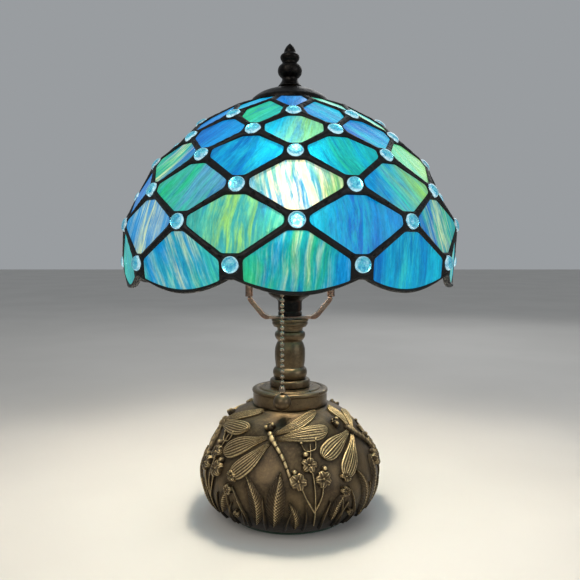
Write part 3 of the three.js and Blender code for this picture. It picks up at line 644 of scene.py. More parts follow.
def wing(group, root, tip, width, bow):
    """A dragonfly's wing: narrow at the root, veins fanning out, beaded cells, a raised border."""
    spine, length = bowed(root, tip, bow)

    def half(t):
        swell = 0.24 + 0.76 * smooth_step(t / 0.66)
        tip_round = np.sqrt(np.clip(1 - (np.clip(t - 0.74, 0, 1) / 0.262) ** 2, 0, 1))
        return width * swell * tip_round + 0.02

    def form(t, w):
        body = 1.25 * np.clip(1 - np.abs(w) ** 8, 0, 1) ** 0.5 + 0.35 * (1 - w**2)
        border = ridge(np.abs(w) - 0.9, 0.1)
        vein = np.zeros_like(w)
        for at in VEINS:
            vein = np.maximum(vein, ridge(w - at, 0.075))
        rows = np.round(np.abs(w) * 3.3) * 0.5
        bead = np.abs(np.sin(math.pi * (t * length / WING_BEAD + rows))) ** 1.5
        bead = bead * (1 - vein) * (1 - border)
        fade = smooth_step(t / 0.12)
        lift = body + 0.7 * border + (0.8 * vein + 0.42 * bead) * fade - 0.25
        worn = np.clip(border * 0.95 + vein * 0.95 + bead * 0.34, 0, 1)
        return lift * (0.5 + 0.5 * smooth_step(t / 0.1)), worn * (0.35 + 0.65 * fade)

    group.strip(spine, half, form, 76, 36)


def dragonfly(name, azimuth, height, wings, tail, head):
    """wings, tail and head are places (azimuth from the thorax in degrees, height)."""
    group = Relief(azimuth, height)
    to = lambda place: group.local(azimuth + place[0], place[1])
    tail_at, head_at = to(tail), to(head)
    back = tail_at / np.linalg.norm(tail_at)
    turn = math.degrees(math.atan2(back[1], back[0]))
    for number, (place, width, bow) in enumerate(wings):
        tip = to(place)
        root = tip / np.linalg.norm(tip) * 1.6 - back * (1.2 if number % 2 == 0 else -1.6)
        wing(group, root, tip, width, bow)
    side = np.array([-back[1], back[0]])
    bend = tail_at * 0.5 + side * 1.4

    def tail_form(t, w):
        joint = np.abs(np.sin(math.pi * t * TAIL_SEGMENTS)) ** 0.3
        lift = 3.0 * np.sqrt(np.clip(1 - w**2, 0, 1)) * (0.72 + 0.28 * joint)
        return lift, (0.1 + 0.8 * joint) * (1 - w**2)

    group.strip([back * 2.0, bend, tail_at], lambda t: 2.15 - 0.8 * t, tail_form, 90, 12)
    # Thorax, neck, head, then an eye and a feeler on each side.
    group.dome(*(back * 1.2), 4.4, 3.0, 3.8, turn)
    group.dome(*(back * -2.4), 3.0, 2.7, 3.5, turn)
    group.dome(*head_at, 2.8, 3.0, 3.2, turn, shine=0.4)
    for lean in (-1, 1):
        group.dome(*(head_at - back * 0.4 + side * lean * 2.5), 2.1, 2.1, 4.2, turn)
        group.dome(*(head_at - back * 3.0 + side * lean * 1.0), 0.9, 0.9, 2.4, turn)
    group.made(name)


def leaf(group, base, tip, width, bow, pitch=2.1):
    """A ribbed leaf with a midrib and a bevelled edge. pitch is the spacing of its ribs."""
    spine, length = bowed(base, tip, bow)

    def form(t, w):
        rib = np.abs(np.sin(math.pi * (t * length - np.abs(w) * width * 0.9) / pitch)) ** 2.2
        mid = ridge(w, 0.11)
        body = 1.15 * np.clip(1 - np.abs(w) ** 5, 0, 1) + 0.4 * (1 - np.abs(w))
        lift = body + 0.75 * rib * (1 - mid) + 0.8 * mid
        worn = np.clip(rib * (0.72 + 0.28 * np.sign(w)) + mid * 0.45, 0, 1)
        return lift - 0.3, worn * np.clip(1.25 - np.abs(w), 0.2, 1)

    half = lambda t: width * np.sin(math.pi * np.clip(t, 0.02, 0.985) ** 0.8) ** 0.8 + 0.05
    group.strip(spine, half, form, 110, 18)


def blade(group, base, tip, width, bow):
    """A blade of grass with one fold along it."""

    def form(t, w):
        worn = np.clip(1 - 1.6 * np.abs(w), 0, 1) * (0.35 + 0.5 * t)
        return 1.5 * (1 - np.abs(w)) ** 0.7 + 0.15, worn

    half = lambda t: width * (1 - t**2.2) ** 0.9 * (0.75 + 0.25 * t) + 0.04
    group.strip(bowed(base, tip, bow)[0], half, form, 30, 8)


def stem(group, points, width=0.75, lift=1.6):
    form = lambda t, w: (lift * np.sqrt(np.clip(1 - w**2, 0, 1)), np.clip(0.85 - w**2, 0, 1))
    group.strip(points, lambda t: width * (1 - 0.25 * t), form, 30, 8)


def flower(group, x, y, size, turn):
    """Five petals, cupped and lined, round a boss."""
    for number in range(5):
        a = math.radians(turn + 72 * number)
        out = np.array([math.cos(a), math.sin(a)])
        at = np.array([x, y])

        def form(t, w):
            lines = 0.5 + 0.5 * np.cos(w * 11.0)
            rise = np.sin(math.pi * np.clip(0.1 + 0.75 * t, 0, 1))
            cup = 1.1 + 2.1 * rise * (1 - 0.5 * w**2) + 0.3 * lines
            edge = np.clip(1 - np.abs(w) ** 10, 0, 1) * np.clip((1.03 - t) * 9, 0, 1)
            worn = (0.25 + 0.75 * lines) * (0.4 + 0.8 * t) * (1 - 0.3 * np.abs(w))
            return cup * edge, np.clip(worn, 0, 1)

        half = lambda t: size * 0.56 * np.sin(math.pi * np.clip(0.14 + 0.74 * t, 0, 1)) ** 0.8
        group.strip([at + out * 0.5, at + out * size * 0.55, at + out * size], half, form, 14, 14)
    group.dome(x, y, size * 0.24, size * 0.24, 3.0)


# Wings as (place of the tip, half-width, bow): the first two are on the right, the others on the left.
SPREAD = [
    ((50.0, 84.6), 5.4, 2.2), ((48.5, 74.0), 6.1, -1.6),
    ((-38.0, 57.0), 6.3, 1.2), ((-24.0, 45.0), 6.2, -1.2),
]
RAISED = [
    ((6.0, 84.9), 4.6, 1.0), ((27.0, 79.5), 5.0, -1.2),
    ((-37.4, 58.6), 6.0, 1.4), ((-25.0, 45.6), 6.0, -1.2),
]
for side, azimuth, height, wings, tail, head in (
    ("front", -14.7, 71.3, SPREAD, (16.3, 43.6), (-3.4, 76.9)),
    ("right", 60.3, 70.7, RAISED, (23.0, 50.5), (-12.5, 77.0)),
    ("right_back", 132.0, 71.0, SPREAD, (16.5, 44.0), (-4.0, 76.8)),
    ("left_back", 204.0, 70.6, SPREAD, (15.0, 43.0), (-3.0, 76.6)),
    ("left", 272.6, 70.4, SPREAD, (17.0, 46.0), (-4.5, 76.4)),
):
    dragonfly("dragonfly_" + side, azimuth, height, wings, tail, head)


def planting(name, azimuth):
    """One clump between two dragonflies: flowers on stems, buds, leaves and grass."""
    group = Relief(azimuth, 50.0)
    to = lambda a, z: group.local(azimuth + a, z)
    foot = to(1.0, 13.0)
    stem(group, [foot, to(0.6, 30.0), to(0.2, 47.0), to(-1.0, 57.5)])
    stem(group, [to(0.8, 24.0), to(-5.0, 36.0), to(-8.2, 45.0)])
    stem(group, [to(0.8, 26.0), to(4.5, 36.0), to(6.0, 45.5)])
    stem(group, [to(-0.6, 57.0), to(0.6, 62.5), to(1.4, 68.0)], 0.6, 1.4)
    stem(group, [to(1.0, 63.0), to(-3.2, 64.0), to(-5.4, 67.8)], 0.55, 1.4)
    stem(group, [to(1.0, 63.4), to(4.8, 64.6), to(6.2, 69.6)], 0.55, 1.4)
    group.dome(*to(-5.6, 68.4), 1.5, 1.5, 2.4)
    group.dome(*to(6.3, 70.2), 1.5, 1.5, 2.4)
    flower(group, *to(-1.6, 55.2), 5.6, 75)
    flower(group, *to(-9.0, 46.0), 5.8, 64)
    flower(group, *to(6.2, 46.5), 5.8, 110)
    group.dome(*to(-3.4, 61.4), 2.8, 2.6, 4.0)
    group.dome(*to(-11.2, 51.4), 2.4, 2.3, 3.5)
    group.dome(*to(8.0, 52.4), 2.4, 2.3, 3.5)
    leaf(group, to(-35.5, 14.0), to(-41.5, 47.5), 5.2, 2.5)
    leaf(group, to(-24.5, 13.5), to(-19.8, 52.0), 6.4, -2.6, 2.3)
    leaf(group, to(11.5, 17.0), to(20.0, 36.5), 3.8, -1.6, 1.9)
    leaf(group, to(-11.0, 12.0), to(-14.5, 33.0), 3.6, 1.5, 1.9)
    for base_a, tip_a, tip_z, width, bow in (
        (-47.0, -50.5, 40.0, 2.4, 2.0), (-43.0, -47.0, 31.0, 2.2, 1.5), (-30.5, -30.0, 37.0, 2.2, -1.2),
        (-18.0, -12.5, 28.0, 2.0, -1.2), (-5.5, -5.0, 31.0, 1.8, 0.8), (6.5, 10.0, 32.0, 2.1, -1.4),
        (16.0, 23.0, 29.0, 2.2, -1.6), (20.0, 17.5, 41.0, 2.0, 1.8),
    ):
        blade(group, to(base_a, 8.5), to(tip_a, tip_z), width, bow)
    for a, z, size in ((-53.0, 36.5, 3.6), (-51.5, 45.5, 3.8), (25.0, 20.5, 2.4)):
        flower(group, *to(a, z), size, a)
    group.made(name)


for side, azimuth in (
    ("front", 14.0), ("right", 87.0), ("right_back", 159.0), ("left_back", 231.0), ("left", 301.0),
):
    planting("planting_" + side, azimuth)


def cut_through(shell, tool):
    """A shell with another cut out of it."""
    made = []
    for label, (verts, faces) in (("whole", shell), ("tool", tool)):
        mesh = bpy.data.meshes.new(label)
        mesh.from_pydata([tuple(v) for v in verts], [], faces)
        made.append(collect(bpy.data.objects.new(label, mesh)))
    whole, knife = made
    modifier = whole.modifiers.new("cut", "BOOLEAN")
    modifier.operation, modifier.solver, modifier.object = "DIFFERENCE", "EXACT", knife
    result = whole.evaluated_get(bpy.context.evaluated_depsgraph_get()).to_mesh()
    verts = np.array([v.co[:] for v in result.vertices])
    faces = [tuple(p.vertices) for p in result.polygons]
    for obj in made:
        bpy.data.objects.remove(obj)
    return verts, faces


CAVITY = [
    (28.0, 81.8), (36.0, 79.3), (43.0, 75.7), (47.2, 71.7), (51.6, 65.0), (61.0, 49.5), (64.0, 43.0),
    (65.0, 37.0), (64.4, 28.2), (62.4, 21.0), (59.6, 16.4), (54.6, 12.6), (36.7, 8.9), (40.0, 8.9),
    (40.0, 1.8),
]
base_outline = np.concatenate([wall_points, [(ROD_BORE, 85.3), (ROD_BORE, 81.8)], CAVITY])
GROMMET_Z = 28.0
hole = tube([(0, 55, GROMMET_Z), (0, 80, GROMMET_Z)], ellipse(CORD_HOLE_R, CORD_HOLE_R, 40), (1, 0, 0))
base_shell = cut_through(lathe(base_outline, 256), hole)
relief_tree = KDTree(sum(len(p) for p in relief_points))
for i, point in enumerate(np.concatenate(relief_points)):
    relief_tree.insert(point, i)
relief_tree.balance()
# The wall is darkened beside the relief, partly patina and partly painted shade, and towards the foot with
# painted shade.
gap = np.array([relief_tree.find(v)[2] for v in base_shell[0]])
RECESS_REACH = 3.2  # how far from the relief the wall is darkened, partly patina and partly painted shade
recess = 0.95 * np.exp(-((gap / RECESS_REACH) ** 1.3))
recess = np.clip(recess + painted_shade(base_shell[0], 34.0, 30.0, 0.7), 0, 1)
piece(
    "base_body_cast", base_shell, "base", "cast_bronze", "base_body", 35,
    {"recess": ("FLOAT", recess), "worn": ("FLOAT", np.zeros(len(base_shell[0])))},
)


# ---------- turned pieces ----------
def turned(name, outline, body, slot, replaces, radius=0.4, segments=96, axis=None, steps=4, sharp=30):
    shell = lathe(softened(outline, radius, steps), segments, axis)
    piece(name, shell, body, slot, replaces, sharp)


turned(
    "felt_foot", [(0, 0, 0), (46.0, 0), (46.0, 1.5), (0, 1.5, 0)], "base", "felt", "felt_pad", 0.5, 128
)
turned(
    "neck_collar_turned",
    [
        (ROD_BORE, 98.6, 0.2), (22.9, 98.6, 0.6), (23.6, 97.5, 0.4), (24.6, 97.5, 0.5), (25.3, 98.0, 0.7),
        (27.6, 98.0, 1.0), (29.3, 97.2, 1.0), (29.3, 95.3, 1.0), (28.6, 94.6, 1.2), (28.7, 85.7, 0.4),
        (26.1, 85.7, 0.3), (26.1, 95.0, 0.5), (ROD_BORE, 95.0, 0.3),
    ],
    "base", "turned_bronze", "neck_collar", segments=128,
)
turned(
    "stem_foot_turned",
    [
        (ROD_BORE, 98.9, 0.2), (15.0, 98.9), (15.5, 99.6, 0.5), (15.5, 103.6, 0.8), (14.7, 104.7, 0.7),
        (ROD_BORE, 104.7, 0.2),
    ],
    "base", "turned_bronze", "stem_foot_ring",
)
turned(
    "stem_turned",
    [
        (ROD_BORE, 105.0, 0.2), (11.5, 105.0, 0.3), (12.3, 105.9), (13.1, 108.0, 2), (13.35, 110.2, 2),
        (12.7, 112.4, 2), (11.15, 113.9, 0.6), (11.0, 114.6, 0.4), (11.5, 118.0, 3), (11.9, 123.5, 4),
        (11.5, 129.0, 4), (10.1, 132.8, 2), (9.5, 133.6, 0.4), (9.6, 134.5, 0.3), (11.1, 136.0, 2),
        (11.95, 138.6, 2), (11.4, 141.0, 2), (9.8, 142.1, 0.4), (9.8, 143.2, 0.5), (10.4, 145.0, 0.3),
        (ROD_BORE, 145.0, 0.2),
    ],
    "base", "turned_bronze", "stem_body", steps=6, sharp=38,
)
turned(
    "stem_top_turned",
    [
        (ROD_BORE, 145.3, 0.2), (12.6, 145.3, 0.3), (12.9, 146.1, 0.3), (12.7, 146.4, 0.15),
        (13.5, 146.7, 0.4), (13.8, 147.7, 0.6), (13.6, 149.0, 0.3), (13.1, 149.3, 0.15),
        (14.2, 149.5, 0.3), (14.2, 151.1, 0.35), (ROD_BORE, 151.1, 0.2),
    ],
    "base", "turned_bronze", "stem_top_plate",
)
turned(
    "socket_cap_spun",
    [
        (ROD_BORE, 153.7, 0.2), (9.2, 153.7, 0.5), (9.2, 156.4, 0.3), (8.8, 156.9, 0.3),
        (8.8, 157.5, 0.3), (9.2, 158.0, 0.3), (9.2, 164.4, 1.0), (10.2, 166.0, 2.0), (14.6, 168.6, 2.0),
        (16.6, 170.4, 1.4), (17.0, 172.1, 0.2), (16.1, 172.1, 0.2), (15.6, 170.9, 1.0),
        (14.0, 169.6, 1.0), (9.4, 167.2, 0.6), (ROD_BORE, 166.0, 0.3),
    ],
    "base", "dark_metal", "socket_cap", steps=5,
)
SHELL_TOP = 207.0
shell_outline = [
    (17.0, 172.4, 0.2), (17.0, 174.4, 0.3), (16.7, 175.0, 0.3), (17.0, 175.6, 0.3), (17.0, 203.8, 0.3),
    (16.6, 204.4, 0.4), (17.0, 205.0, 0.4), (17.0, SHELL_TOP, 0.35), (16.2, SHELL_TOP, 0.3),
    (16.2, 172.4, 0.2),
]
GUIDE_Z = 178.0  # where the chain guide leaves the shell
guide_hole = tube([(0, -12, GUIDE_Z), (0, -22, GUIDE_Z)], ellipse(3.6, 3.6, 32), (1, 0, 0))
piece(
    "socket_shell_spun", cut_through(lathe(softened(shell_outline), 96), guide_hole), "base", "dark_metal",
    "socket_shell", 30,
)

# Vase cap, washer, finial and the shade's top ring.
turned(
    "vase_cap_spun",
    [
        (STUD_BORE, 324.2, 0.1), (10.0, 324.2, 1.5), (15.2, 323.2, 3), (22.4, 320.3, 3),
        (27.3, 316.4, 1.5), (28.6, 313.8, 0.3), (29.3, 313.6, 0.3), (29.8, 313.9, 0.3),
        (29.8, 315.0, 0.4), (28.9, 317.1, 1.6), (23.2, 321.5, 4), (15.5, 324.4, 4), (11.0, 325.2, 0.8),
        (10.4, 324.9, 0.4), (9.8, 325.2, 0.3), (STUD_BORE, 325.2, 0.1),
    ],
    "shade", "dark_metal", "vase_cap", segments=128, steps=6,
)
turned(
    "shade_ring_brass", [(21.0, 315.4), (26.4, 315.4), (26.4, 317.0), (21.0, 317.0)],
    "shade", "plain_brass", "shade_top_ring",
)
turned(
    "finial_washer_brass", [(STUD_BORE, 325.5), (6.2, 325.5), (6.2, 326.5), (STUD_BORE, 326.5)],
    "washer", "plain_brass", "finial_washer", 0.3, 64,
)
turned(
    "finial_turned",
    [
        (STUD_BORE, 326.8, 0.1), (8.7, 326.8, 0.3), (9.2, 327.3, 0.4), (7.6, 329.2, 2.0),
        (6.2, 331.4, 2.2), (5.9, 333.2, 0.8), (7.2, 334.4, 1.0), (8.9, 336.4, 1.8), (9.4, 339.0, 2),
        (8.8, 341.6, 2), (7.0, 343.6, 1.0), (5.7, 344.4, 0.5), (5.9, 345.6, 0.6), (7.0, 347.3, 1.0),
        (7.5, 349.0, 1.2), (6.9, 350.6, 0.9), (ROD_BORE, 351.8, 0.5), (4.7, 352.4, 0.4),
        (4.2, 354.4, 2.0), (2.9, 356.8, 1.8), (1.2, 358.5, 0.6), (0, 359.4, 0), (0, 342.5, 0),
        (STUD_BORE, 341.0, 0.2),
    ],
    "finial", "dark_metal", "finial", steps=6, sharp=40,
)
turned(
    "harp_stud_brass",
    [
        (0, 322.2, 0), (6.6, 322.2), (6.6, 323.9), (3.15, 323.9, 0.2), (3.15, 337.2, 0.3),
        (2.4, 338.0, 0.2), (0, 338.0, 0),
    ],
    "base", "plain_brass", "harp_stud", 0.3, 48,
)

# Bulb.
turned(
    "bulb_envelope",
    [
        (11.0, 210.3, 0.2), (11.9, 214.0, 3), (13.6, 220.0, 5), (17.0, 226.5, 5), (21.4, 234.0, 6),
        (23.9, 242.5, 8), (24.0, 251.0, 8), (21.8, 260.0, 8), (16.8, 267.4, 8), (9.4, 271.6, 8),
        (0, 272.3, 0), (0, 271.2, 0), (9.2, 270.7, 8), (16.2, 266.6, 8), (21.0, 259.6, 8),
        (23.1, 251.0, 8), (23.1, 242.5, 8), (20.6, 234.3, 6), (16.3, 227.0, 5), (12.8, 220.2, 5),
        (11.1, 214.2, 3), (10.2, 210.3, 0.2),
    ],
    "bulb", "bulb_glass", "bulb_glass", segments=64, steps=5,
)
THREADS, THREAD_PITCH, THREAD_START = 5, 3.0, 192.6
thread = [(5.0, 188.2, 0.3), (9.4, 188.5, 0.5), (11.6, 190.6, 0.8), (12.3, 191.6, 0.5)]
for step in range(THREADS):
    z = THREAD_START + THREAD_PITCH * step
    thread += [(12.3, z, 0.8), (13.1, z + 1.3, 0.9), (12.3, z + 2.6, 0.8)]
thread += [(12.9, 207.8, 0.4), (12.7, 210.0, 0.4), (8.9, 210.0, 0.3), (8.9, 191.4, 0.3), (5.0, 190.2, 0.3)]
turned("bulb_base_threaded", thread, "bulb", "plain_steel", "bulb_screw_base", segments=64)

# The grommet lies along Y at the back of the base.
GROMMET = [
    (3.2, 60.6), (6.4, 60.6), (6.4, 62.4), (4.8, 63.4), (4.8, 69.9), (7.6, 69.9), (7.6, 71.2), (6.4, 72.2),
    (3.2, 72.2),
]
verts, faces = lathe(softened(GROMMET), 48)
verts = np.stack([verts[:, 0], verts[:, 2], GROMMET_Z - verts[:, 1]], 1)
piece("cord_grommet_moulded", outward_facing(verts, faces), "base", "grommet_rubber", "cord_grommet", 35)


# ---------- saddle, harp and sleeves ----------
BAR_EDGE = 0.45  # rounding of the saddle's edges
ARM_EXTRA = 0.8  # how much further out each face of the saddle's arms stands than its middle's


def strip_section(half_width, half_thick):
    """A flat bar's section with rounded edges: [through the bar, across it]."""
    w, t = half_width, half_thick
    return softened([(-t, -w), (t, -w), (t, w), (-t, w)], BAR_EDGE, 3)


bends = [(HARP_X, 176.9), (HARP_X, 168.4, 1.5), (30.4, 165.6, 3.0), (19.4, 152.5, 3.5)]
outline = bends + [(-x, z, *more) for x, z, *more in reversed(bends)]
line = softened(outline, 2.0, 6, closed=False)
line = np.concatenate([np.linspace(a, b, 5, endpoint=False) for a, b in zip(line, line[1:])] + [line[-1:]])
path = np.stack([line[:, 0], 0 * line[:, 0], line[:, 1]], 1)
sections = []
for x, z in line:
    # The strip narrows up the arms and ends in tabs that fit inside the sleeves.
    narrow = smooth_step((z - 153.5) / 13.0)
    tab = smooth_step((z - 167.2) / 1.2)
    half_width = (5.5 - 2.5 * narrow) * (1 - tab) + 1.8 * tab
    half_thick = 1.0 + ARM_EXTRA * smooth_step((abs(x) - 15.0) / 4.0)
    sections.append(strip_section(half_width, half_thick * (1 - tab) + 0.8 * tab))
bar_normals = np.stack([-np.gradient(line[:, 1]), 0 * line[:, 0], np.gradient(line[:, 0])], 1)
saddle = tube(path, np.array(sections), bar_normals)
rod_hole = lathe([(0, 148), (ROD_BORE, 148), (ROD_BORE, 158), (0, 158)], 40)
piece("harp_saddle_bent", cut_through(saddle, rod_hole), "base", "rose_bronze", "harp_saddle", 35)

LEG = [
    (HARP_X, 177.3), (HARP_X, 189), (32.0, 198), (40.5, 212), (47, 230), (48, 250), (45.6, 270),
    (38.5, 288), (27, 303), (15, 314.5), (7.5, 319.8),
]
harp_points = [(-x, z) for x, z in LEG] + [(0, 320.4)] + LEG[::-1]
wire = spline(harp_points, 180)
wire = np.stack([wire[:, 0], 0 * wire[:, 0], wire[:, 1]], 1)
piece("harp_wire_bent", tube(wire, ellipse(1.5, 1.5, 14), (0, 1, 0)), "base", "rose_bronze", "harp_wire", 50)
SLEEVE = [
    (2.4, 168.3), (2.8, 168.3), (3.0, 168.9), (2.85, 170.0), (2.85, 180.6), (3.0, 181.7), (2.8, 182.3),
    (2.4, 182.3),
]
for side, x in (("left", -HARP_X), ("right", HARP_X)):
    body = "sleeve_" + side
    turned(body + "_rolled", SLEEVE, body, "rose_bronze", "harp_" + body, 0.3, 40, axis=(x, 0))


# ---------- pull chain ----------
CHAIN = (-5.6, -37.6)
BEAD_R, PITCH, PIVOT_Z = 1.6, 3.94, 160.4  # PIVOT_Z is the middle of the bead the chain swings from
BEADS_ABOVE, BEADS_BELOW = 4, 13
WIRE_GAP = 1.9  # how far from the pivot's middle the wires of the beads above and below it end
BALL_Z, BALL_R = 94.6, 6.4
MOUTH_Z = 173.1  # lower edge of the chain guide's mouth


def ball_outline(z, radius, count=14, waist=0.0):
    """A ball's outline from its bottom to its top; waist is the radius of the wire through it."""
    low = math.asin(min(1.0, waist / radius))
    angles = np.linspace(-math.pi / 2 + low, math.pi / 2 - low, count)
    return [(radius * math.cos(a), z + radius * math.sin(a)) for a in angles]


def bead_run(low, first, count, top):
    """Beads on a wire, from the lowest up."""
    outline = [(0, low), (0.5, low)]
    for i in range(count):
        outline += ball_outline(first - (count - 1 - i) * PITCH, BEAD_R, 12, 0.5)
    return outline + [(0.5, top), (0, top)]


beads = bead_run(PIVOT_Z + WIRE_GAP, PIVOT_Z + BEADS_ABOVE * PITCH, BEADS_ABOVE, MOUTH_Z + 6.4)
puller = lathe(beads, 24, CHAIN)
piece("chain_puller_beads", puller, "puller", "chain_metal", "chain_puller", 60)
pivot = lathe(ball_outline(PIVOT_Z, BEAD_R), 24, CHAIN)
piece("chain_bead_top", pivot, "pivot_bead", "chain_metal", "chain_pivot_bead", 60)
CONNECTOR_TOP = PIVOT_Z - (BEADS_BELOW + 0.55) * PITCH
beads = bead_run(CONNECTOR_TOP + 0.3, PIVOT_Z - PITCH, BEADS_BELOW, PIVOT_Z - WIRE_GAP)
piece("chain_beads", lathe(beads, 24, CHAIN), "chain", "chain_metal", "pull_chain", 60)
turned(
    "chain_connector_bell",
    [
        (0, CONNECTOR_TOP, 0), (1.0, CONNECTOR_TOP), (1.6, CONNECTOR_TOP - 0.8), (2.2, CONNECTOR_TOP - 2.2),
        (2.4, CONNECTOR_TOP - 4.6), (2.0, 101.3), (0, 101.3, 0),
    ],
    "chain", "chain_metal", "chain_connector", 0.5, 32, axis=CHAIN,
)
ball = lathe(ball_outline(BALL_Z, BALL_R, 30), 48, CHAIN)
dull = {"recess": ("FLOAT", np.full(len(ball[0]), 0.2))}
piece("pull_ball_cast", ball, "chain", "turned_bronze", "pull_ball", 60, dull)

ARM = [
    (0, -18.2, GUIDE_Z), (-0.5, -22, 178.8), (-2.2, -29, 181.2), (-4.2, -34.6, 180.9),
    (*CHAIN, MOUTH_Z + 4.4),
]
arm_shell = tube(spline(ARM, 36), ellipse(2.4, 2.4, 24), (1, 0, 0.01))
MOUTH_BORE = 2.1
# The mouth's outline, with heights from its lower edge.
MOUTH = [
    (MOUTH_BORE, 6.3), (2.7, 6.3), (2.8, 3.9), (3.4, 1.9, 1.5), (4.0, 0.5, 0.4), (3.9, 0.0, 0.3),
    (3.3, 0.0, 0.3), (MOUTH_BORE, 2.5, 1.5),
]
mouth = softened([(r, MOUTH_Z + z, *more) for r, z, *more in MOUTH], 0.3)
low, high = MOUTH_Z - 1, MOUTH_Z + 8.9
bore = lathe([(0, low), (MOUTH_BORE, low), (MOUTH_BORE, high), (0, high)], 32, CHAIN)
guide = join(cut_through(arm_shell, bore), lathe(mouth, 40, CHAIN))
piece("chain_guide_bent", guide, "base", "dark_metal", "chain_guide", 45)


# ---------- shade ----------
PANES = 10
STEP = TAU / PANES
SHADE_TURN = math.radians(1.9)
# The circles, as (radius, height), that the jewels of each row sit on, from the bottom up. The last
# holds the bare joints between the panes of the top row.
RINGS = [
    (125.4, 195.6), (122.0, 221.7), (114.0, 243.3), (99.8, 264.3), (84.4, 280.5), (67.3, 294.7),
    (46.0, 306.2),
]
SHADE_TOP = (27.6, 313.0)
RIM_VALLEY = (124.6, 188.7)
SCALLOP_LOW = (119.7, 179.6)
LAST = len(RINGS) - 1
JEWEL_R = 5.2
HOLE_R = 4.85  # opening of the solder round a jewel
LEAD_HALF = 2.4  # half the width of a solder line, from jewel to jewel
GLASS_HALF = 1.5
# How high the solder stands at its edge and in its middle, and how wide its rounding is.
BEAD_EDGE, BEAD_CREST, BEAD_ROUND = 1.2, 2.55, 1.9
TUCK = 0.6  # how far the glass runs in under the solder
# How far a pane stops short of the jewels beside, above and below it.
SIDE_CUT, TOP_CUT, BOTTOM_CUT = 8.0, 6.6, 6.9
JOINT_SIDE_CUT, JOINT_TOP_CUT = 3.4, 3.2  # the same beside and under a bare joint
COLLAR_CUT = 1.2  # how far the top row stops below the shade's upper edge
PANE_CORNER = 1.3  # rounding of a pane's corners
FAR = 200.0  # well outside any pane
ROW_GAP = 0.866  # distance between the rows of a triangular grid, for a step of 1
PANE_EDGE_STEP, PANE_GRID_STEP = 1.8, 3.2
SOLDER_EDGE_STEP, SOLDER_GRID_STEP = 1.25, 1.6
SOLDER_BANDS = (0.45, 1.1)  # lines of points along the solder's edges, by distance from the edge
HOLE_SIDES = 28
# How far new points keep from the points already there, and from each other.
PANE_GAPS, BAND_GAPS, GRID_GAPS = (1.2, 1.0), (0.4, 0.45), (0.8, 1.2)
WELD = 0.02  # points of neighbouring cells nearer than this are one
LUMP = 0.05  # how uneven the solder's height is
RIM_DROP = 7.6  # how far the web under the jewels of the bottom row reaches down
RIM_INSET, RIM_EASE = 0.9, 7.5  # how far the came lies outside the scallop, and where it eases in
WAVE, WAVE_FADE = 0.1, 4.0  # height of the waves in the glass, and how far in from the edge they grow
SLIP = 0.4  # how far, at most, a pane's edge is cut off true


def place(ring, azimuth):
    return np.array([ring[0] * math.sin(azimuth), -ring[0] * math.cos(azimuth), ring[1]])


def unit(vector):
    return vector / np.linalg.norm(vector)


def jewel_frame(k, azimuth):
    """The point of ring k at an azimuth, with its directions across, up the dome and outwards."""
    below = RINGS[k - 1] if k else RIM_VALLEY
    above = RINGS[k + 1] if k < LAST else SHADE_TOP
    up = unit(place(above, azimuth) - place(below, azimuth))
    across = np.array([math.cos(azimuth), math.sin(azimuth), 0.0])
    return place(RINGS[k], azimuth), across, up, unit(np.cross(across, up))


def pane_azimuth(k, j):
    return SHADE_TURN + (j + (0.5 if k % 2 else 0.0)) * STEP


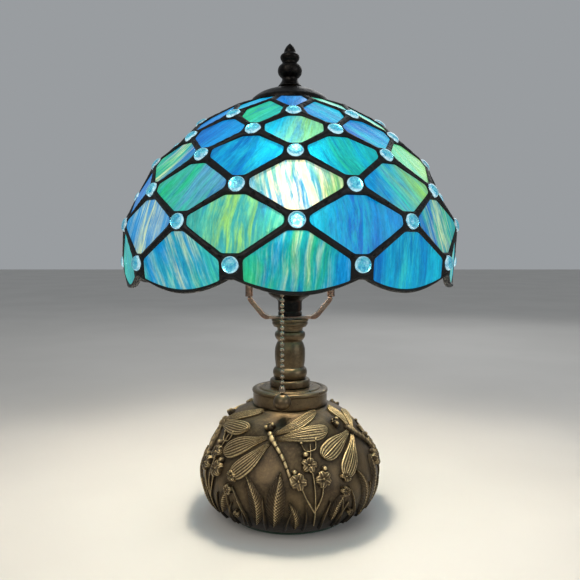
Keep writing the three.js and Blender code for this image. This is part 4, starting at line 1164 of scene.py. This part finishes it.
class Cell:
    """One pane's share of the shade, laid out flat: x to the right of the pane's middle and y up from
    the chord between its side jewels. The solder round the pane is split down the middle."""

    def __init__(self, k, j):
        self.k, self.azimuth = k, pane_azimuth(k, j)
        left, right = self.azimuth - STEP / 2, self.azimuth + STEP / 2
        self.left, _, _, self.left_out = jewel_frame(k, left)
        self.right, _, _, self.right_out = jewel_frame(k, right)
        middle = (self.left + self.right) / 2
        self.w = np.linalg.norm(self.right - self.left) / 2
        if k < LAST:
            self.top, _, _, self.top_out = jewel_frame(k + 1, self.azimuth)
            self.high = np.linalg.norm(self.top - middle)
        else:
            self.top_left, self.top_right = place(SHADE_TOP, left), place(SHADE_TOP, right)
            self.top_w = np.linalg.norm(self.top_right - self.top_left) / 2
            self.high = np.linalg.norm((self.top_left + self.top_right) / 2 - middle)
        if k:
            self.bottom, _, _, self.bottom_out = jewel_frame(k - 1, self.azimuth)
            self.low = np.linalg.norm(self.bottom - middle)
        else:
            self.sag = unit(place(SCALLOP_LOW, self.azimuth) - middle)
            self.valleys = [unit(place(RIM_VALLEY, a) - place(RINGS[0], a)) for a in (left, right)]
            self.low = np.linalg.norm(place(SCALLOP_LOW, self.azimuth) - middle)

    def scallop(self, x):
        """The lower edge of a bottom pane."""
        return -JEWEL_R - (self.low - JEWEL_R) * np.cos(np.clip(x / self.w, -1, 1) * math.pi / 2) ** 0.85

    def at(self, x, y):
        """The places and outward directions of points of the cell."""
        x, y = np.atleast_1d(x).astype(float), np.atleast_1d(y).astype(float)
        points, outs = np.zeros((len(x), 3)), np.zeros((len(x), 3))
        upper = y >= 0
        for half in (upper, ~upper):
            if not half.any():
                continue
            u, v = x[half] / self.w, y[half]
            if half is upper and self.k == LAST:
                t = (v / self.high)[:, None]
                share = (x[half] / (self.w + (self.top_w - self.w) * v / self.high))[:, None] / 2 + 0.5
                low = self.left * (1 - share) + self.right * share
                points[half] = low * (1 - t) + (self.top_left * (1 - share) + self.top_right * share) * t
                outs[half] = self.left_out * (1 - share) + self.right_out * share
            elif half is not upper and self.k == 0:
                share = (u / 2 + 0.5)[:, None]
                lean = np.abs(u)[:, None]
                end = np.where(u[:, None] < 0, self.valleys[0], self.valleys[1])
                way = end * lean + self.sag * (1 - lean)
                points[half] = self.left * (1 - share) + self.right * share - v[:, None] * way
                outs[half] = self.left_out * (1 - share) + self.right_out * share
            else:
                far = self.high if half is upper else -self.low
                corner = self.top if half is upper else self.bottom
                corner_out = self.top_out if half is upper else self.bottom_out
                a = v / far
                b, c = (1 - a + u) / 2, (1 - a - u) / 2
                a, b, c = a[:, None], b[:, None], c[:, None]
                points[half] = corner * a + self.right * b + self.left * c
                outs[half] = corner_out * a + self.right_out * b + self.left_out * c
        return points, outs / np.linalg.norm(outs, axis=1)[:, None]

    def glass_edge(self, tuck, slip):
        """The pane's outline. slip holds how far each edge was cut off true."""
        w, high, low = self.w, self.high, self.low
        lead, planes = LEAD_HALF - tuck, []  # each plane keeps a*x + b*y <= c

        def edge(ax, ay, bx, by, inset):
            a, b = by - ay, ax - bx
            size = math.hypot(a, b)
            planes.append((a / size, b / size, (a * ax + b * ay) / size - inset))

        side_cut = (SIDE_CUT if self.k < LAST else JOINT_SIDE_CUT) - tuck
        planes.append((1, 0, w - side_cut + slip[0]))
        planes.append((-1, 0, w - side_cut + slip[1]))
        if self.k < LAST:
            top_cut = TOP_CUT if self.k < LAST - 1 else JOINT_TOP_CUT
            edge(w, 0, 0, high, lead + slip[2])
            edge(0, high, -w, 0, lead + slip[3])
            planes.append((0, 1, high - top_cut + tuck + slip[4]))
        else:
            edge(w, 0, self.top_w, high, lead)
            edge(-self.top_w, high, -w, 0, lead)
            planes.append((0, 1, high - COLLAR_CUT + tuck))
        if self.k:
            edge(-w, 0, 0, -low, lead + slip[5])
            edge(0, -low, w, 0, lead + slip[6])
            planes.append((0, -1, low - BOTTOM_CUT + tuck + slip[7]))
        else:
            xs = np.linspace(-w, w, 25)
            ys = self.scallop(xs) - tuck
            for ax, ay, bx, by in zip(xs, ys, xs[1:], ys[1:]):
                edge(ax, ay, bx, by, 0.0)
        outline = [(-FAR, -FAR), (FAR, -FAR), (FAR, FAR), (-FAR, FAR)]
        for a, b, c in planes:
            kept = []
            for p, q in zip(outline, outline[1:] + outline[:1]):
                dp, dq = a * p[0] + b * p[1] - c, a * q[0] + b * q[1] - c
                if dp <= 0:
                    kept.append(p)
                if dp * dq < 0:
                    t = dp / (dp - dq)
                    kept.append((p[0] + (q[0] - p[0]) * t, p[1] + (q[1] - p[1]) * t))
            outline = kept
        return softened(outline, PANE_CORNER, 3)


def spread(loop, step, closed=True):
    """Points evenly along a line of points, about a step apart."""
    loop = np.asarray(loop, float)
    if closed:
        loop = np.concatenate([loop, loop[:1]])
    run = np.concatenate([[0], np.cumsum(np.linalg.norm(np.diff(loop, axis=0), axis=1))])
    count = max(2, int(round(run[-1] / step)))
    at = np.linspace(0, run[-1], count + 1)
    points = np.stack([np.interp(at, run, loop[:, i]) for i in (0, 1)], 1)
    return points[:-1] if closed else points


def inside(points, loop):
    """Which points lie inside a closed loop."""
    x, y = points[:, :1], points[:, 1:]
    a, b = loop, np.roll(loop, -1, 0)
    crosses = (a[:, 1] > y) != (b[:, 1] > y)
    rise = b[:, 1] - a[:, 1]
    at = a[:, 0] + (y - a[:, 1]) / np.where(rise == 0, 1, rise) * (b[:, 0] - a[:, 0])
    return (crosses & (x < at)).sum(1) % 2 == 1


def distance(points, loop, closed=True):
    """How far points lie from a line of points."""
    a = loop if closed else loop[:-1]
    b = np.roll(loop, -1, 0) if closed else loop[1:]
    way = b - a
    t = ((points[:, None] - a) * way).sum(2) / np.maximum((way**2).sum(1), 1e-9)
    near_points = a + np.clip(t, 0, 1)[..., None] * way
    return np.linalg.norm(points[:, None] - near_points, axis=2).min(1)


def thinned(points, fixed, gap_to_fixed, gap):
    """Points that keep clear of the fixed ones and of each other."""
    if not len(points):
        return points
    far = np.linalg.norm(points[:, None] - fixed[None], axis=2).min(1) > gap_to_fixed
    kept = []
    for p in points[far]:
        if not kept or np.linalg.norm(np.array(kept) - p, axis=1).min() > gap:
            kept.append(p)
    return np.array(kept) if kept else np.zeros((0, 2))


def hexagons(low, high, step):
    """A triangular grid of points over a box."""
    xs = np.arange(low[0], high[0] + step, step)
    ys = np.arange(low[1], high[1] + step, step * ROW_GAP)
    return np.array([(x + (step / 2 if row % 2 else 0), y) for row, y in enumerate(ys) for x in xs])


def triangles(points, loops):
    """A triangle mesh of points that keeps the edges of each loop of point numbers."""
    edges = [(loop[i], loop[(i + 1) % len(loop)]) for loop in loops for i in range(len(loop))]
    made = geometry.delaunay_2d_cdt([Vector(p) for p in points], edges, [], 0, 1e-5)
    return np.array([tuple(v) for v in made[0]]), [tuple(f) for f in made[2]]


def cell_rim(cell):
    """The outline of a cell with the jewel openings left out, and which openings lie on it."""
    w, high, low = cell.w, cell.high, cell.low
    if cell.k < LAST:
        corners = [(-w, 0), (0, high), (w, 0)] + ([(0, -low)] if cell.k else [])
    else:
        corners = [(-w, 0), (-cell.top_w, high), (cell.top_w, high), (w, 0), (0, -low)]
    if cell.k == 0:
        corners = [(w, 0), (w, -RIM_DROP), "rim", (-w, -RIM_DROP), (-w, 0), (0, high)]
    rings = {c for c in corners if c != "rim" and opening_at(cell, c)}
    loop = []
    count = len(corners)
    for i, corner in enumerate(corners):
        if corner == "rim":
            continue
        after = corners[(i + 1) % count]
        before = corners[i - 1]
        a = np.array(corner, float)
        if corner in rings:
            angles = [math.atan2(*(np.array(p, float) - a)[::-1]) for p in (before, after)]
            turn = (angles[1] - angles[0] + math.pi) % TAU - math.pi
            bits = max(3, int(round(abs(turn) * HOLE_R / SOLDER_EDGE_STEP)))
            for t in np.linspace(0, 1, bits + 1)[:-1]:
                angle = angles[0] + turn * t
                loop.append(a + HOLE_R * np.array([math.cos(angle), math.sin(angle)]))
            start = a + HOLE_R * unit(np.array(after, float) - a)
        else:
            start = a
        if after == "rim":
            xs = np.linspace(w, -w, int(2 * w / SOLDER_GRID_STEP))
            loop.extend(np.stack([xs, rim_line(cell, xs)], 1)[:-1])
            continue
        b = np.array(after, float)
        end = b - HOLE_R * unit(b - a) if after in rings else b
        loop.extend(spread([start, end], SOLDER_EDGE_STEP, closed=False)[:-1])
    return np.array(loop), [np.array(c, float) for c in rings]


def opening_at(cell, corner):
    """True where a corner of a cell is a jewel's middle and not a bare joint."""
    x, y = corner
    if cell.k == 0:
        return y in (0, cell.high)
    if y == 0:
        return cell.k < LAST
    if y > 0:
        return cell.k < LAST - 1
    return True


def rim_line(cell, x):
    """The middle of the rim came along the scallop, easing into the web under the jewels."""
    line = cell.scallop(x) - RIM_INSET
    edge = smooth_step((np.abs(x) - cell.w + RIM_EASE) / RIM_EASE)
    return np.minimum(line, -RIM_DROP) * (1 - edge) + np.minimum(-RIM_DROP, line) * edge


def bead_height(d):
    rise = np.clip(d / BEAD_ROUND, 0, 1)
    return BEAD_EDGE + (BEAD_CREST - BEAD_EDGE) * np.sqrt(1 - (1 - rise) ** 2)


def solder_cell(cell, edge):
    """The solder of one cell: its flat triangles, with each point's place, direction and height."""
    rim, rings = cell_rim(cell)
    hole = spread(edge, SOLDER_EDGE_STEP)
    fixed = np.concatenate([rim, hole])
    loops = [list(range(len(rim))), list(range(len(rim), len(fixed)))]
    normals = np.roll(hole, -1, 0) - np.roll(hole, 1, 0)
    normals = np.stack([normals[:, 1], -normals[:, 0]], 1) / np.linalg.norm(normals, axis=1)[:, None]
    extra = [hole + normals * d for d in SOLDER_BANDS]
    t = np.linspace(0, TAU, HOLE_SIDES, endpoint=False)
    for centre in rings:
        for d in SOLDER_BANDS:
            extra.append(centre + (HOLE_R + d) * np.stack([np.cos(t), np.sin(t)], 1))
    extra.append(hexagons(rim.min(0), rim.max(0), SOLDER_GRID_STEP))
    for i, points in enumerate(extra):
        points = points[inside(points, rim) & ~inside(points, hole)]
        gaps = BAND_GAPS if i + 1 < len(extra) else GRID_GAPS
        fixed = np.concatenate([fixed, thinned(points, fixed, *gaps)])
    points, faces = triangles(fixed, loops)
    middles = np.array([points[list(f)].mean(0) for f in faces])
    keep = inside(middles, rim) & ~inside(middles, hole)
    faces = [f for f, k in zip(faces, keep) if k]
    d = distance(points, hole)
    for centre in rings:
        d = np.minimum(d, np.abs(np.linalg.norm(points - centre, axis=1) - HOLE_R))
    if cell.k == 0:
        xs = np.linspace(-cell.w, cell.w, 60)
        d = np.minimum(d, distance(points, np.stack([xs, rim_line(cell, xs)], 1), closed=False))
    places, outs = cell.at(points[:, 0], points[:, 1])
    return places, outs, bead_height(d), faces


def solder_network(cells, edges):
    """All the solder as one closed shell: the cells' triangles welded, thickened and walled."""
    places, outs, heights, faces = [], [], [], []
    numbers = {}
    for cell, edge in zip(cells, edges):
        own, own_out, own_height, own_faces = solder_cell(cell, edge)
        index = []
        for p, n, h in zip(own, own_out, own_height):
            key = tuple(np.round(p / WELD).astype(int))
            found = numbers.get(key)
            if found is None:
                found = numbers[key] = len(places)
                places.append(p)
                outs.append(n)
                heights.append(h)
            else:
                heights[found] = max(heights[found], h)
            index.append(found)
        for face in own_faces:
            face = tuple(index[i] for i in face)
            if len(set(face)) == 3:
                faces.append(face)
    places, outs, heights = np.array(places), np.array(outs), np.array(heights)[:, None]
    faces = facing_along(places, faces, outs[[f[0] for f in faces]])
    n = len(places)
    open_edges = {}
    for f in faces:
        for i in range(3):
            edge = (f[i], f[(i + 1) % 3])
            if open_edges.pop((edge[1], edge[0]), None) is None:
                open_edges[edge] = True
    whole = two_skins(faces, n) + [(b, a, a + n, b + n) for a, b in open_edges]
    x, y, z = places[:, :1], places[:, 1:2], places[:, 2:]
    lumps = 1 + LUMP * np.sin(x * 0.9 + z * 0.7) * np.sin(y * 0.8)
    return np.concatenate([places + outs * heights * lumps, places - outs * heights * lumps]), whole


# Blue, azure, cyan, teal, green, yellow-green, cream green, warm white, lavender blue and aquamarine.
TINTS = {
    "B": 0x0364AE, "A": 0x0686C0, "C": 0x10A8C4, "T": 0x149896, "G": 0x24AE7C,
    "Y": 0x84C26A, "K": 0xBFCE9A, "W": 0xF2E4AE, "L": 0x5A92BC, "Q": 0x35B0A0,
}
# The panes, by (row, number), whose glass is listed: tints to the left and right and in the streaks,
# how milky, how the streaks lean, and which way the tints change over, in degrees.
CHOSEN = {
    (0, 0): ("GAK", 0.5, 8, 20), (0, 9): ("AQK", 0.55, -24, 0), (0, 1): ("BCQ", 0.5, 4, 0),
    (0, 8): ("QTC", 0.5, 2, 0), (0, 2): ("QCK", 0.5, -6, 0), (1, 9): ("TQY", 0.95, 8, 0),
    (1, 0): ("CAB", 0.95, -2, 0), (1, 8): ("ALK", 0.7, 6, 0), (1, 1): ("BGK", 0.7, -10, 0),
    (1, 7): ("ABC", 0.4, 8, 0), (2, 0): ("AYW", 1.1, -12, 0), (2, 9): ("GLQ", 0.5, 34, 0),
    (2, 1): ("AYQ", 0.7, -34, 20), (2, 8): ("BAB", 0.3, 26, 0), (2, 2): ("BGK", 0.5, -20, 0),
    (3, 9): ("BCQ", 0.45, 22, 0), (3, 0): ("CTG", 0.5, -14, 0), (3, 8): ("GBK", 0.7, 40, 0),
    (3, 1): ("GYC", 0.4, -30, 0), (4, 0): ("CYB", 0.5, 14, 0), (4, 9): ("BAA", 0.3, 30, 0),
    (4, 1): ("BCQ", 0.4, -36, 0), (4, 8): ("BAC", 0.3, 30, 0), (5, 9): ("GTQ", 0.5, 34, 0),
    (5, 0): ("BCQ", 0.45, -30, 0), (5, 8): ("BAB", 0.3, 30, 0), (5, 1): ("CYG", 0.45, -30, 0),
    (6, 0): ("BLA", 0.3, 0, 0), (6, 9): ("CAC", 0.3, 20, 0), (6, 1): ("YCG", 0.5, -20, 0),
}
# The mixtures that the other panes are drawn from.
BLENDS = "ACK BAC TAC CBA ALK AGK GLC CYL BCA GTC AQK BAL TCY CAK QBC".split()
BULB = np.array([0.0, 0.0, 248.0])
# The painted glow of glass this far from the bulb is 1, and glass nearer than the second length is painted
# no brighter still.
GLOW_REACH, GLOW_NEAREST = 112.0, 60.0


def glow_at(points):
    """How brightly the bulb's light is painted into the glass's glow, by distance from it."""
    reach = np.linalg.norm(points - BULB, axis=1)
    return np.clip((GLOW_REACH / np.maximum(reach, GLOW_NEAREST)) ** 0.6, 0.8, 1.3)


def glass_pane(cell, j, slip):
    """A flat pane with a slightly wavy face, and what its look needs at each point."""
    edge = spread(cell.glass_edge(TUCK, slip), PANE_EDGE_STEP)
    grid = hexagons(edge.min(0), edge.max(0), PANE_GRID_STEP)
    grid = thinned(grid[inside(grid, edge)], edge, *PANE_GAPS)
    flat, faces = triangles(np.concatenate([edge, grid]), [list(range(len(edge)))])
    middles = np.array([flat[list(f)].mean(0) for f in faces])
    faces = [f for f, k in zip(faces, inside(middles, edge)) if k]
    n, rim_count = len(flat), len(edge)
    places, outs = cell.at(flat[:, 0], flat[:, 1])
    centre = places[:rim_count].mean(0)
    normal = np.linalg.svd(places[:rim_count] - centre)[2][2]
    normal = normal if normal @ outs.mean(0) > 0 else -normal
    places = places - ((places - centre) @ normal)[:, None] * normal
    seed = cell.k * 17.3 + j * 5.9
    wave = WAVE * np.sin(flat[:, 0] * 0.5 + seed) * np.sin(flat[:, 1] * 0.33 + seed * 2)
    edge_fade = smooth_step(distance(flat, edge) / WAVE_FADE)
    wave = (wave * edge_fade)[:, None]
    verts = np.concatenate([places + normal * (GLASS_HALF + wave), places - normal * (GLASS_HALF - wave)])
    whole = two_skins(facing_along(places, faces, normal), n)
    area = sum(edge[i - 1, 0] * edge[i, 1] - edge[i, 0] * edge[i - 1, 1] for i in range(rim_count))
    for i in range(rim_count):
        a, b = (i, (i + 1) % rim_count) if area > 0 else ((i + 1) % rim_count, i)
        whole.append((a, a + n, b + n, b))
    # Drawn for every pane, so that picking one pane's glass changes no other's.
    random_glass = (BLENDS[int(rng.integers(len(BLENDS)))], rng.uniform(0.3, 0.8), rng.uniform(-30, 30), 0)
    tints, milk, lean, change = CHOSEN.get((cell.k, j), random_glass)
    lean, change = math.radians(lean), math.radians(change)
    u = flat[:, 0] * math.cos(lean) - flat[:, 1] * math.sin(lean)
    v = flat[:, 0] * math.sin(lean) + flat[:, 1] * math.cos(lean)
    # The streaks run in gentle curves.
    u += (0.9 + 0.6 * math.sin(seed) ** 2) * np.sin(v * 0.09 + seed) + 0.25 * np.sin(v * 0.27 + seed * 2)
    reach = 2 * cell.w * abs(math.cos(change)) + (cell.high + cell.low) * abs(math.sin(change))
    share = (flat[:, 0] * math.cos(change) - flat[:, 1] * math.sin(change)) / reach + 0.5
    fields = {
        "flow": np.stack([u, v, np.full(n, seed)], 1),
        "share": share,
        "milk": milk * (0.45 + 0.9 * np.exp(-((flat[:, 0] / (0.42 * cell.w)) ** 2))),
        "glow": glow_at(places),
    }
    for key, tint in zip(("tint_a", "tint_b", "tint_c"), tints):
        fields[key] = np.tile((*linear(TINTS[tint]), 1.0), (n, 1))
    return outward_facing(verts, whole), {key: np.concatenate([f, f]) for key, f in fields.items()}


JEWEL_OUTLINE = softened(
    [
        (0, -1.7, 0), (3.4, -1.7, 0.8), (4.7, -1.1, 0.6), (JEWEL_R, 0.0, 0.6), (5.1, 1.2, 0.8),
        (4.5, 2.3, 1.2), (3.2, 3.1, 1.2), (1.6, 3.42, 1.0), (0, 3.5, 0),
    ],
    0.6, 3,
)


def jewel(k, azimuth):
    """A cabochon seated in its ring of solder, with how near each point is to the rim."""
    at, across, up, out = jewel_frame(k, azimuth)
    verts, faces = lathe(JEWEL_OUTLINE, 36)
    turn = rng.uniform(0, TAU)
    x = verts[:, 0] * math.cos(turn) - verts[:, 1] * math.sin(turn)
    y = verts[:, 0] * math.sin(turn) + verts[:, 1] * math.cos(turn)
    # Pressed glass is never quite round.
    oval = 1 + 0.02 * np.cos(2 * np.arctan2(y, x))
    placed = at + (x * oval)[:, None] * across + (y * oval)[:, None] * up + verts[:, 2:] * out
    rim = np.hypot(verts[:, 0], verts[:, 1]) / JEWEL_R
    return outward_facing(placed, faces), rim


KINDS = {
    "flow": "FLOAT_VECTOR", "share": "FLOAT", "milk": "FLOAT", "glow": "FLOAT",
    "tint_a": "FLOAT_COLOR", "tint_b": "FLOAT_COLOR", "tint_c": "FLOAT_COLOR",
}
ROWS = ["one", "two", "three", "four", "five", "six", "seven"]
cells, edges = [], []
for k, row in enumerate(ROWS):
    shells, fields = [], []
    for j in range(PANES):
        cell = Cell(k, j)
        slip = rng.uniform(-SLIP, SLIP, 8)
        cells.append(cell)
        edges.append(cell.glass_edge(0.0, slip))
        shell, field = glass_pane(cell, j, slip)
        shells.append(shell)
        fields.append(field)
    painted_rim_highlight = {key: (KINDS[key], np.concatenate([f[key] for f in fields])) for key in KINDS}
    piece("panes_row_" + row, join(*shells), "shade", "shade_glass", "glass_row_" + row, 40, painted_rim_highlight)
    if k < LAST:
        gems = [jewel(k, pane_azimuth(k, j) + STEP / 2) for j in range(PANES)]
        shell = join(*[g[0] for g in gems])
        attributes = {
            "rim": ("FLOAT", np.concatenate([g[1] for g in gems])),
            "glow": ("FLOAT", glow_at(shell[0])),
        }
        piece("jewels_row_" + row, shell, "shade", "jewel_glass", "glass_row_" + row, 50, attributes)

leads = ["leading_" + a + "_" + b for a, b in zip(ROWS, ROWS[1:])]
piece("solder_network", solder_network(cells, edges), "shade", "solder", leads, 60)

rim_path, rim_out = [], []
for cell in cells[:PANES]:
    xs = np.linspace(-cell.w, cell.w, 41)[:-1]
    points, outs = cell.at(xs, rim_line(cell, xs))
    rim_path.append(points)
    rim_out.append(outs)
rim_path, rim_out = np.concatenate(rim_path), np.concatenate(rim_out)
rim_shell = tube(rim_path, ellipse(2.4, 1.35, 16), rim_out, closed=True)
piece("rim_came_drawn", rim_shell, "shade", "solder", "rim_came", 60)


# ---------- carried-over pieces ----------
KEPT = {
    "plain_steel": ("bottom_plate", "rod_nut", "rod_washer", "lamp_rod", "terminal_screw_right"),
    "plain_brass": ("switch_cam", "terminal_screw_left", "screw_shell", "centre_contact"),
    "insulating_card": ("insulating_sleeve",),
    "phenolic": ("switch_housing",),
    "solder": ("bulb_eyelet",),
    "bulb_light": ("bulb_filament_mount",),
}
for slot, nodes in KEPT.items():
    for node in nodes:
        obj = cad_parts[node]
        for entry in obj.material_slots:
            entry.material = LOOKS[slot]
        if not obj.material_slots:
            obj.data.materials.append(LOOKS[slot])


# ---------- floor and light ----------
floor_mesh = bpy.data.meshes.new("floor")
FLOOR_HALF = 6
corners = [(x * FLOOR_HALF, y * FLOOR_HALF, 0) for x, y in ((-1, -1), (1, -1), (1, 1), (-1, 1))]
floor_mesh.from_pydata(corners, [], [(0, 1, 2, 3)])
floor = collect(bpy.data.objects.new("floor", floor_mesh))
floor_look = Look("floor")
grain = floor_look.noise(floor_look.place(), 0.004, 3)
floor_tone = floor_look.mix(floor_look.span(grain, 0.3, 0.7), linear(0xC6C4C0), linear(0xCCCAC6))
floor_mesh.materials.append(floor_look.finish(Base_Color=floor_tone, Roughness=0.7))

world = bpy.data.worlds.new("studio")
scene.world = world
world.use_nodes = True
world.node_tree.nodes["Background"].inputs["Color"].default_value = (0.80, 0.84, 0.88, 1)
world.node_tree.nodes["Background"].inputs["Strength"].default_value = 0.4


def soft_light(name, at, aim, size, power, colour=(1, 1, 1)):
    data = bpy.data.lights.new(name, "AREA")
    data.shape, data.size, data.energy, data.color = "DISK", size, power, colour
    lamp = collect(bpy.data.objects.new(name, data))
    lamp.location = at
    lamp.rotation_euler = (Vector(aim) - Vector(at)).to_track_quat("-Z", "Y").to_euler()


soft_light("key", (-0.5, -1.05, 0.95), (0, 0, 0.1), 1.1, 8.5, (1.0, 0.94, 0.85))
soft_light("fill", (1.0, -0.7, 0.5), (0, 0, 0.12), 0.8, 3.6, (0.92, 0.96, 1.0))
soft_light("back", (0.4, 1.1, 0.9), (0, 0, 0.2), 1.0, 3.5)


def bulb_light(name, height, radius, power, colour):
    data = bpy.data.lights.new(name, "POINT")
    data.energy, data.color, data.shadow_soft_size = power, colour, radius
    lamp = collect(bpy.data.objects.new(name, data))
    lamp.location = (0, 0, height)
    return lamp


# The bulb's light, and a brighter spot towards its top that only shows through the glass.
bulb_light("bulb_glow", 0.24, 0.045, 2.4, (1.0, 0.84, 0.62)).visible_transmission = False
bpy.data.objects["bulb_envelope"].visible_shadow = False
core = bulb_light("bulb_core", 0.266, 0.024, 2.0, (1.0, 0.93, 0.8))
core.visible_diffuse = core.visible_glossy = False

scene.view_settings.view_transform = "Standard"
